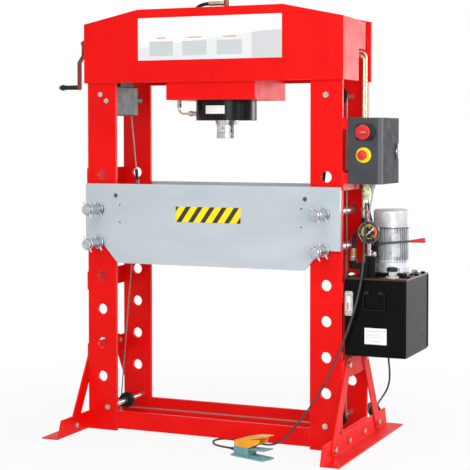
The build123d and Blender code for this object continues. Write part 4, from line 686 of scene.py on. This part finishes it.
piece("head_panel", panel(HEAD_PANEL, HEAD_FACE), "pale_panel")
piece("striped_panel", panel(TABLE_PANEL, TABLE_FACE), "hazard_panel", "table")
piece("tank_label", panel(TANK_PANEL, FRONT_FACE), "label_panel")
piece("cylinder_label", curved_panel(CYLINDER_RADIUS, 1, 38.5, *CYLINDER_PANEL), "bare_panel")


# Gauge: recessed dial, ticks and numbers, bezel ring, and a tapered needle
gx, gy, gz = GAUGE
dial_y = gy + DIAL_SET_BACK - 0.3
dial_centre = (gx, dial_y, gz)


def gauge_tick(k):
    width = 0.8 if k % 5 == 0 else 0.45
    length = 5.0 if k % 10 == 0 else 3.2 if k % 5 == 0 else 2.0
    head = TICK_FOOT + length * 0.8
    outline = [(-width / 2, TICK_FOOT), (width / 2, TICK_FOOT), (width / 2, head), (-width / 2, head)]
    a = radians(DIAL_START - DIAL_SWEEP * k / TICKS)
    bm = prism(outline, -0.5, -0.3)
    bm.transform(Matrix.Translation(Vector(dial_centre) * MM) @ Matrix.Rotation(pi / 2 - a, 4, "Y"))
    return bm


def gauge_number(text, k):
    data = bpy.data.curves.new("number", "FONT")
    data.body = text
    data.size = NUMBER_SIZE * MM
    data.align_x = "CENTER"
    data.align_y = "CENTER"
    data.extrude = 0.1 * MM
    holder = bpy.data.objects.new("number", data)
    scene.collection.objects.link(holder)
    graph = bpy.context.evaluated_depsgraph_get()
    bm = bmesh.new()
    bm.from_mesh(bpy.data.meshes.new_from_object(holder.evaluated_get(graph)))
    bpy.data.objects.remove(holder)
    a = radians(DIAL_START - DIAL_SWEEP * k / 4)
    spot = Vector((gx + NUMBER_RADIUS * cos(a), dial_y - 0.45, gz + NUMBER_RADIUS * sin(a))) * MM
    bm.transform(Matrix.Translation(spot) @ Matrix.Rotation(pi / 2, 4, "X"))
    return bm


def gauge_needle():
    outline = [(-27, -2.6), (-22, -2.8), (-6, -1.5), (8, -1.4), (36, -0.35),
               (36, 0.35), (8, 1.4), (-6, 1.5), (-22, 2.8), (-27, 2.6)]
    hub = [(0, -1.6), (3.6, -1.6), (4.6, -0.8), (4.8, 0.6), (0, 0.6)]
    bm = join(prism(outline, -0.5, 0.4, "y", 0.15, 1), lathe(hub, 32, along=(0, 1, 0)))
    place = Matrix.Translation(Vector((gx, NEEDLE_Y, gz)) * MM)
    bm.transform(place @ Matrix.Rotation(radians(NEEDLE_TURN), 4, "Y"))
    return bm


ticks = [gauge_tick(k) for k in range(TICKS + 1)]
numbers = [gauge_number(text, k) for k, text in enumerate(("0", "10", "20", "30", "40"))]
dial = [(0, 0), (44.5, 0), (44.5, 0.25), (0, 0.25)]
bezel = [(44.6, -8), (44.6, 0.3), (46, 1.6), (48.2, 1.6), (49.4, 0.2), (49.4, -9.5), (48.6, -10.4),
         (45.2, -10.4)]
piece("gauge_dial", lathe(dial, 72, dial_centre, FRONT), "dial_face")
piece("gauge_marks", join(*ticks, *numbers), "white_needle")
piece("gauge_bezel", lathe(bezel, 96, GAUGE, FRONT), "bezel_steel")
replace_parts(piece("gauge_pointer", gauge_needle(), "white_needle", "needle"), "gauge_needle")


# Control box: stop button with its yellow shroud, and red main switch on a black plate
sx, sz = SWITCH
switch_place = (sx, FRONT_FACE, sz)
estop_place = (ESTOP[0], FRONT_FACE, ESTOP[1])
shroud = [(11.3, 0.2), (34.4, 0.2), (34.4, 4.2), (33.6, 6.0), (29.8, 9.3), (28.6, 9.5), (16.2, 9.5),
          (15.4, 10.2), (15.4, 13.2), (14.4, 13.6), (11.3, 13.6)]
button = [(0, -13.5), (10.9, -13.5), (10.9, 18.8), (13.5, 19.0), (18.0, 19.6), (20.6, 20.9), (21.0, 22.6),
          (21.0, 26.4), (20.4, 28.4), (18.6, 30.6), (15.0, 32.8), (9.0, 34.6), (4.0, 35.0), (0, 35.0)]
piece("stop_shroud", lathe(shroud, 72, estop_place, FRONT), "signal_yellow")
stop_button = piece("stop_button", lathe(button, 64, estop_place, FRONT), "signal_red", "estop")
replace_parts(stop_button, "estop_button")


def switch_base():
    outline = [(sx - 31.4, sz - 34.4), (sx + 39.4, sz - 34.4), (sx + 58, sz - 3), (sx + 58, sz + 3),
               (sx + 39.4, sz + 34.4), (sx - 31.4, sz + 34.4)]
    plate = prism(outline, FRONT_FACE - 8.3, FRONT_FACE - 0.1, "y", 1.6, 3)
    collar = [(8.2, 8), (27, 8), (25.5, 11.2), (24.2, 11.5), (8.2, 11.5)]
    screw = [(0, 8.2), (2.6, 8.2), (2.6, 9.2), (1.8, 9.8), (0, 9.8)]
    screws = [lathe(screw, 20, (sx + dx, FRONT_FACE, sz + dz), FRONT) for dx in (-25, 21) for dz in (-29, 29)]
    return join(plate, lathe(collar, 56, switch_place, FRONT), *screws)


def switch_knob():
    disc = [(0, 12.1), (31.4, 12.1), (32.8, 13.2), (33.0, 17.0), (31.6, 19.2), (29.0, 20.0), (0, 20.0)]
    stem = [(0, -19), (7.9, -19), (7.9, 12.4), (0, 12.4)]
    rib = [(0, 12.6), (0.9, 12.8), (0.9, 16.6), (0, 17.2)]
    hand = rounded(sx - 24, sx + 24, sz - 9, sz + 9, 8.4, 8)
    ribs = [lathe(rib, 8, (x, FRONT_FACE, z), FRONT) for x, z in around(36, 32.7, SWITCH)]
    return join(lathe(disc, 72, switch_place, FRONT),
                prism(hand, FRONT_FACE - 37.6, FRONT_FACE - 19.5, "y", 3.0, 4),
                lathe(stem, 24, switch_place, FRONT), *ribs)


mark = rounded(sx - 2, sx + 22, sz - 0.6, sz + 0.6, 0.5, 4)
piece("switch_base", switch_base(), "black_plastic")
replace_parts(piece("switch_knob", switch_knob(), "signal_red", "main_switch"), "main_switch")
piece("switch_mark", prism(mark, FRONT_FACE - 37.9, FRONT_FACE - 37.2), "white_needle", "main_switch")


# Cable glands and the foot cable's round connector under the box
def gland(x, y, cable_r, relief_length):
    place = (x, y, BOX_LOW)
    washer = [(cable_r, -0.1), (14.6, -0.1), (14.6, -1.4), (cable_r, -1.4)]
    dome = [(10.4, -7), (10.9, -8), (10.9, -18.8), (9.8, -21.4), (cable_r + 1.2, -22.4),
            (cable_r + 0.2, -20.6)]
    ribs = [prism(rounded(u - 0.7, u + 0.7, v - 0.7, v + 0.7, 0.5, 2), BOX_LOW - 17, BOX_LOW - 7, "z")
            for u, v in around(16, 10.9, (x, y))]
    return join(hexagon(24.6, -7.2, -0.1, place), lathe(washer, 32, place), lathe(dome, 40, place), *ribs,
                relief(place, cable_r, relief_length))


def relief(place, cable_r, length):
    rings = [(cable_r - 0.4, -20)]
    pitch = length / 8
    for k in range(9):
        z = -21 - length * k / 8
        swell = 3.6 * (1 - k / 8)
        wide = cable_r + 0.5 + swell
        narrow = cable_r + 0.25 + swell * 0.7
        rings += [(wide, z), (wide, z - pitch * 0.62), (narrow, z - pitch * 0.66), (narrow, z - pitch * 0.98)]
    return lathe(rings + [(cable_r - 0.4, rings[-1][1])], 28, place)


def connector(place):
    washer = [(5.6, -0.1), (17.4, -0.1), (17.4, -2.2), (16.8, -2.8), (5.6, -2.8)]
    barrel = [(5.6, -29), (11.3, -29), (11.3, -33.6), (13.4, -33.8), (14.4, -34.8), (14.4, -49.6),
              (13.8, -51.2), (10.9, -70.2), (5.6, -70.2)]
    knurl = [(0, -35.6), (0.9, -36.2), (0.9, -48.2), (0, -48.8)]
    knurls = [lathe(knurl, 6, (x, y, BOX_LOW)) for x, y in around(28, 14.1, FOOT_GLAND)]
    return join(hexagon(27.6, -30.2, -2.6, place), lathe(washer, 40, place), lathe(barrel, 56, place),
                *knurls)


foot_place = (*FOOT_GLAND, BOX_LOW)
collar = [(5.6, -69.8), (10.4, -69.8), (10.1, -71.4), (9.8, -81.2), (9.0, -82.2), (5.6, -82.2)]
piece("foot_connector", connector(foot_place), "connector_zinc")
piece("foot_connector_collar", lathe(collar, 48, foot_place), "bare_panel")
piece("gland_mains", gland(*MAINS_GLAND, 4.5, 34), "black_plastic")
piece("gland_motor", gland(*MOTOR_GLAND, 4.0, 20), "grey_cable")


# Swing handle of the box door
def door_handle():
    y, z = LOCK
    place = (BOX_SIDE, y, z)
    sides = []
    for way in (1, -1):
        bulge = [way * HANDLE_BULGE * sin(pi * k / HANDLE_STEPS) ** 0.5 for k in range(HANDLE_STEPS + 1)]
        heights = [HANDLE_HALF * (2 * k / HANDLE_STEPS - 1) for k in range(HANDLE_STEPS + 1)]
        sides.append([(y + out, z + up) for out, up in zip(bulge, heights)])
    outline = sides[0] + sides[1][-2:0:-1]
    flange = [(9, 0.5), (13.0, 0.5), (13.0, 2.6), (12.0, 4.2), (0, 4.2)]
    stem = [(0, -12), (8.9, -12), (8.9, 1), (0, 1)]
    keyway = [(0, 12.6), (5.2, 12.6), (5.2, 12.8), (4.4, 13.0), (0, 13.0)]
    cam = rounded(y - 8, y + 8, z - 8, z + 28, 4)
    return join(prism(outline, BOX_SIDE + 4, BOX_SIDE + 13, "x", 2.6, 3), lathe(flange, 40, place, RIGHT),
                lathe(stem, 24, place, RIGHT), prism(cam, BOX_SIDE - 16, BOX_SIDE - 12, "x", 0.8, 2),
                lathe(keyway, 24, place, RIGHT))


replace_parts(piece("door_handle", door_handle(), "handle_grey", "door_lock"), "door_lock")


# Crank grip, lever grip and the filler cap
crank_grip = [(6.06, 3), (10.5, 3), (11.6, 4.6), (11.5, 22), (10.9, 48), (11.1, 68), (12.2, 78), (14.2, 86),
              (14.8, 90), (14.4, 94), (12.6, 96), (6.06, 96)]
crank_handgrip = piece("crank_handgrip", lathe(crank_grip, 48, CRANK_GRIP, LEFT), "black_plastic",
                       "crank_grip")
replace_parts(crank_handgrip, "crank_grip")
lever_way = (cos(LEVER_LEAN), 0, sin(LEVER_LEAN))
lever_end = Vector(LEVER_FOOT) + LEVER_LENGTH * Vector(lever_way)
lever_grip = [(5.1, -1), (6.4, -1), (7.0, 1.5), (7.2, 12), (8.4, 28), (10.2, 44), (11.0, 52), (10.8, 57),
              (9.0, 60.6), (5.0, 62), (0, 62.2)]
lever_handgrip = piece("lever_handgrip", lathe(lever_grip, 48, lever_end, lever_way), "grip_red",
                       "valve_lever")
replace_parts(lever_handgrip, "lever_grip")
cap_body = [(14.06, 0.1), (21.4, 0.1), (22.0, 0.8), (22.0, 5.0), (21.2, 5.6), (21.2, 6.8), (22.0, 7.4),
            (22.0, 22.4), (20.6, 23.6), (14.06, 23.6)]
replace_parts(piece("breather_cap", lathe(cap_body, 72, (*CAP, CAP_LOW)), "chrome", "filler_cap"), "filler_cap")


def cap_knob():
    outline = []
    for k in range(CAP_STEPS):
        a = 2 * pi * k / CAP_STEPS
        r = KNOB_RADIUS - KNOB_GROOVE * max(0.0, cos(CAP_RIBS * a)) ** 3
        outline.append((CAP[0] + r * cos(a), CAP[1] + r * sin(a)))
    dome = [(0, 35.8), (23.4, 35.8), (22.6, 38.4), (20.4, 40.0), (16.0, 40.8), (0, 41.0)]
    return join(prism(outline, CAP_LOW + 23.8, CAP_LOW + 36, "z", 0.7, 2, 60),
                lathe(dome, 72, (*CAP, CAP_LOW)))


piece("cap_knob", cap_knob(), "black_plastic", "filler_cap")


# Hydraulic fittings, each with its own finish
stem = [(5.0, 894), (5.0, 906), (6.4, 907), (6.4, 922), (5.0, 923), (5.0, 929)]
gauge_union = join(
    hexagon(19, 868, 880, GAUGE_STEM), stepped([(7.6, 880), (7.6, 884)], GAUGE_STEM),
    hexagon(19, 884, 894, GAUGE_STEM), stepped(stem, GAUGE_STEM))
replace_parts(piece("gauge_union", gauge_union, "bright_steel"), "hydraulic_fittings")
fittings = {
    "plug_union": ("zinc", join(hexagon(17, 868, 884, PLUG_PORT),
                                stepped([(6.6, 884), (6.6, 887), (5.4, 888)], PLUG_PORT))),
    "elbow_body": ("black_gloss", join(cuboid(653, 683, -140, -110, 810, 846, 2),
                                       stepped([(8, 0), (8, 1)], (683, BLOCK[1], 822), RIGHT))),
    "elbow_nut": ("fitting_green", hexagon(26, 846, 856, ELBOW)),
    "elbow_collar": ("bright_steel", hexagon(24, 856.5, 866, ELBOW)),
    "elbow_crimp": ("crimp_tan", crimp(ELBOW, 12, 866, 900)),
    "valve_nut": ("fitting_green", hexagon(22, 838, 850, SECOND_HOSE)),
    "valve_crimp": ("crimp_tan", crimp(SECOND_HOSE, 11, 850, 876)),
    "cylinder_union": ("zinc", join(
        hexagon(22, 32, 50, SIDE_PORT, LEFT), hexagon(19, 6, 31, SIDE_PORT, LEFT),
        stepped([(9.4, 0.1), (9.4, 6.2)], SIDE_PORT, LEFT),
        stepped([(6.2, -11), (6.2, 0.4)], SIDE_PORT, LEFT))),
    "head_union": ("zinc", join(
        hexagon(21, 1529, 1549, HEAD_PIPE), stepped([(7.4, 1549), (7.4, 1552)], HEAD_PIPE),
        hexagon(21, 1552, 1573, HEAD_PIPE))),
    "hose_joint": ("zinc", hexagon(20, 1870, 1896, TOP_JOINT)),
    "top_port": ("port_brown", join(
        hexagon(30, CYL_TOP, CYL_TOP + 26),
        stepped([(12, 1961), (12, 2000), (11, 2001), (11, 2004), (12, 2005), (12, 2036), (11, 2041),
                 (9.5, 2043)]))),
    "top_arm": ("zinc", hexagon(20, 10, 28, TOP_ARM, LEFT)),
    "top_crimp": ("crimp_tan", crimp(TOP_ARM, 10.5, 28, 88, LEFT)),
}
for y in PIPE_YS:
    pipe = (PIPE_X, y, 0)
    fittings[f"pipe_nut_{y}"] = ("zinc", join(
        hexagon(16, 1158, 1178, pipe), stepped([(6.4, 1154), (6.4, 1158)], pipe),
        hexagon(16, 1138, 1154, pipe)))
    fittings[f"pipe_drop_{y}"] = ("pipe_zinc", stepped([(6.2, 1036), (6.2, 1140)], pipe))
    fittings[f"drop_nut_{y}"] = ("bright_steel", join(
        hexagon(17, 1060, 1077, pipe), stepped([(7.4, 1056), (7.4, 1061)], pipe),
        hexagon(18, 1022, 1040, pipe)))
for name, (look, shape) in fittings.items():
    piece(name, shape, look)


# Tank lid, motor base plate, filler neck and hangers
lid = prism(rounded(646, 929, FRONT_FACE - LID_LAP, TANK_BACK + LID_LAP, 8), LID_LOW, LID_TOP, "z", 0.8, 2)
motor_plate = prism(rounded(710, 900, -95, 95, 14), LID_TOP, LID_TOP + PLATE_THICK, "z", 1.6, 2)
hangers = [cuboid(641.5, 646, y - 20, y + 20, 687, 727, 0.6) for y in HANGER_YS]
neck = (*CAP, LID_TOP)
neck_screw = [(2.6, 5), (2.6, 7.2), (1.8, 7.8)]
neck_screws = [stepped(neck_screw, (x, y, LID_TOP)) for x, y in around(6, NECK_SCREW_RADIUS, CAP, 30)]
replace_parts(piece("lid_plate", lid, "lid_brown"), "tank_lid")
piece("motor_plate", motor_plate, "black_gloss")
piece("filler_neck", join(stepped([(29, 0), (29, 3.6), (27.8, 5)], neck),
                          stepped([(13.9, 5), (13.9, 14)], neck)), "flange_pink_reflection")
piece("tank_hangers", join(*hangers), "frame_red")
piece("neck_screws", join(*neck_screws), "zinc")


# Ends of the table's cross shafts, seen in the plates
shaft_end = [(0, 0.02), (9.8, 0.02), (9.8, 0.2), (9.2, 0.4), (4.4, 0.4), (3.4, -0.6), (0, -0.6)]
for side, place in ((-1, "left"), (1, "right")):
    ends = [lathe(shaft_end, 40, (side * SHAFT_X, face * SHAFT_Y, SHAFT_Z), (0, face, 0)) for face in (-1, 1)]
    piece("shaft_ends_" + place, join(*ends), "shaft_dark", "table")


# Mounting pads on the motor's body, between its fins, each with four screws
boss = [(6.6, 0), (6.6, 4.6), (5.8, 5.4), (3.4, 5.4), (3.2, 4.4)]
pad_screw = [(3.1, 4.3), (3.1, 5.0), (2.4, 5.2)]
pads = []
pad_screws = []
for middle in PAD_MIDDLES:
    strip = curved_panel(BODY_RADIUS + 3.2, 90 + middle, PAD_SPREAD, *PAD_ROWS, 1.2, 10)
    pads.append(moved(strip, (*MOTOR, 0)))
    for a in [radians(middle + turn) for turn in PAD_SCREW_TURNS]:
        for z in PAD_SCREW_ROWS:
            origin = (MOTOR[0] + BODY_RADIUS * cos(a), MOTOR[1] + BODY_RADIUS * sin(a), z)
            pads.append(stepped(boss, origin, (cos(a), sin(a), 0)))
            pad_screws.append(stepped(pad_screw, origin, (cos(a), sin(a), 0)))
piece("motor_pads", join(*pads), "motor_alu")
piece("motor_pad_screws", join(*pad_screws), "black_plastic")


# Sight gauge: pale window in a bright frame with end screws, and a red mark
sight_frame = rounded(SIGHT_X - 18.6, SIGHT_X + 18.6, 609.4, 718.6, 9)
sight_window = rounded(SIGHT_X - 9, SIGHT_X + 9, 632, 696, 5)
sight_mark = rounded(SIGHT_X - 6, SIGHT_X, 636, 668, 2)
sight_screw = [(0, 16), (5.6, 16), (5.6, 19.4), (4.6, 20.4), (0, 20.4)]
sight_screws = [lathe(sight_screw, 24, (SIGHT_X, FRONT_FACE, z), FRONT) for z in SIGHT_SCREWS]
piece("sight_frame", prism(sight_frame, FRONT_FACE - 16.5, FRONT_FACE - 0.1, "y", 2.0, 3), "zinc")
piece("sight_window", prism(sight_window, FRONT_FACE - 17.6, FRONT_FACE - 16.2, "y", 0.6, 2), "bare_panel")
piece("sight_mark", prism(sight_mark, FRONT_FACE - 18.0, FRONT_FACE - 17.5, "y", 0.2, 1), "grip_red")
piece("sight_screws", join(*sight_screws), "chrome")


# Foot pedal, drawn along its own length and turned into place: housing, treadle, guard, cable boot
def on_pedal(*parts):
    bm = join(*parts)
    bm.transform(PEDAL_PLACE)
    return bm


def pedal_base():
    plate = prism(rounded(0, 189, 0, 80, 8, 4), 0, 7, "z", 1.4, 2)
    housing = cuboid(12, 66, NEAR, FAR, 5, HOUSING_TOP, 2.2)
    walls = [cuboid(60, HOUSING_END, side, side + 8, 5, HOUSING_TOP, 2) for side in (NEAR, FAR - 8)]
    floor_step = cuboid(60, HOUSING_END, NEAR + 4, FAR - 4, 5, 28, 1)
    plinth = cuboid(HOUSING_END - 6, 175, NEAR + 8, FAR - 8, 5, 13, 2)
    pin_end = [(4.6, 0.1), (4.6, 1.0), (3.8, 1.5)]
    pin_ends = [stepped(pin_end, (74, side, 30), (0, way, 0)) for side, way in ((NEAR, -1), (FAR, 1))]
    screw = [(5.4, 6.6), (5.4, 9), (4.2, 10)]
    screws = [stepped(screw, (182, v, 0)) for v in (12, 68)]
    return on_pedal(plate, housing, *walls, floor_step, plinth, *pin_ends, *screws)


def pedal_treadle():
    tongue = [(68, 33), (68, 41), (TREAD_START + 8, 41), (TREAD_START + 8, 36), (84, 33)]
    tread = [(TREAD_START, 35), (TREAD_START, 41), (TREAD_END, 48), (191, 46.5), (191, 44), (TREAD_END, 42)]
    ribs = []
    for k in range(TREAD_RIBS):
        along = TREAD_START + 9 + TREAD_PITCH * k
        height = 41 + (along - TREAD_START) * 7 / (TREAD_END - TREAD_START)
        ribs.append(cuboid(along - 1.4, along + 1.4, NEAR + 5, FAR - 5, height - 1, height + 1.1, 0.5))
    return on_pedal(prism(tongue, NEAR + 10, FAR - 10, "y", 0.8, 2), prism(tread, NEAR, FAR, "y", 0.9, 2),
                    *ribs)


def pedal_guard():
    crest = [(GUARD_BACK, 26), (62, 42), (128, 58), (GUARD_TIP, 65), (GUARD_TIP, 61)]
    cheek = [(GUARD_BACK, 0)] + crest + [(166, 54), (101, 38), (164, 47), (156, 28), (HOUSING_END, 0)]
    roof = [(GUARD_BACK, 22)] + crest + [(129, 54), (63, 38)]
    cheek = [(u, HOUSING_TOP + w) for u, w in cheek]
    roof = [(u, HOUSING_TOP + w) for u, w in roof]
    cheeks = [prism(cheek, side, side + 4, "y", 0.8, 2) for side in (NEAR, FAR - 4)]
    back = cuboid(GUARD_BACK, GUARD_BACK + 4, NEAR, FAR, HOUSING_TOP, HOUSING_TOP + 25, 1)
    return on_pedal(*cheeks, prism(roof, NEAR, FAR, "y", 1.0, 2), back)


def pedal_boot():
    rings = [(4.4, -30)]
    for k in range(6):
        z = -30 + 7 * k
        r = 5.6 + 0.75 * k
        rings += [(r, z), (r, z + 4.4), (r - 0.9, z + 4.8), (r - 0.6, z + 6.8)]
    nut_place = (CABLE_HOLE[0] - 1, CABLE_HOLE[1], CABLE_HOLE[2])
    return on_pedal(lathe(rings + [(4.4, 12.4)], 28, CABLE_HOLE, RIGHT), hexagon(22, -3, 2, nut_place, RIGHT))


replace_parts(piece("pedal_housing", pedal_base(), "pedal_teal"), "pedal_base")
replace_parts(piece("pedal_tread", pedal_treadle(), "pedal_teal", "treadle"), "pedal_treadle")
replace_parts(piece("pedal_hood", pedal_guard(), "guard_orange"), "pedal_guard")
piece("pedal_boot", pedal_boot(), "black_plastic")


# Floor and world that look white, and keep the object's shadow
def seen_share(tree):
    path = node(tree, "LightPath")
    seen = math(tree, "MAXIMUM", path.outputs["Is Camera Ray"], path.outputs["Is Glossy Ray"])
    return math(tree, "MAXIMUM", seen, path.outputs["Is Transmission Ray"])


def floor_material():
    made = bpy.data.materials.new("floor")
    tree = cleared(made)
    diffuse = node(tree, "BsdfDiffuse", {"Color": (0.86, 0.86, 0.86, 1)})
    glow = node(tree, "Emission", {"Color": (1, 1, 1, 1), "Strength": 1.0})
    seen = seen_share(tree)
    spot = node(tree, "TexCoord").outputs["Object"]
    far = node(tree, "VectorMath", {0: spot}, operation="LENGTH").outputs["Value"]
    share = math(tree, "MULTIPLY", seen, ranged(tree, far, *FLOOR_WHITE))
    both = node(tree, "MixShader", {0: share, 1: diffuse.outputs[0], 2: glow.outputs[0]})
    node(tree, "OutputMaterial", {0: both.outputs[0]})
    return made


corners = ((-1, -1), (1, -1), (1, 1), (-1, 1))
floor_corners = [(x * FLOOR_HALF, y * FLOOR_HALF, FLOOR_DROP) for x, y in corners]
floor_mesh = bpy.data.meshes.new("floor")
floor_mesh.from_pydata(floor_corners, [], [(0, 1, 2, 3)])
floor_mesh.materials.append(floor_material())
floor = bpy.data.objects.new("floor", floor_mesh)
scene.collection.objects.link(floor)

world = bpy.data.worlds.new("studio")
scene.world = world
tree = cleared(world)
strength = ranged(tree, seen_share(tree), 0.0, 1.0, *WORLD_STRENGTH)
background = node(tree, "Background", {"Color": (1, 1, 1, 1), "Strength": strength})
node(tree, "OutputWorld", {0: background.outputs[0]})


def lamp(name, place, target, size, power):
    data = bpy.data.lights.new(name, "AREA")
    data.size = size
    data.energy = power
    made = bpy.data.objects.new(name, data)
    made.location = place
    made.rotation_euler = (Vector(target) - Vector(place)).to_track_quat("-Z", "Y").to_euler()
    scene.collection.objects.link(made)


lamp("key", place=(0.7, -4.9, 4.2), target=(0, 0, 1.0), size=2.6, power=78)
lamp("fill", place=(3.2, -5.2, 1.7), target=(0, 0, 1.0), size=2.4, power=98)
lamp("side", place=(4.8, -1.2, 2.6), target=(0.6, 0, 1.0), size=2.2, power=70)
lamp("back", place=(3.2, 4.6, 1.6), target=(0.4, 0, 1.0), size=1.8, power=96)

scene.view_settings.view_transform = "Standard"
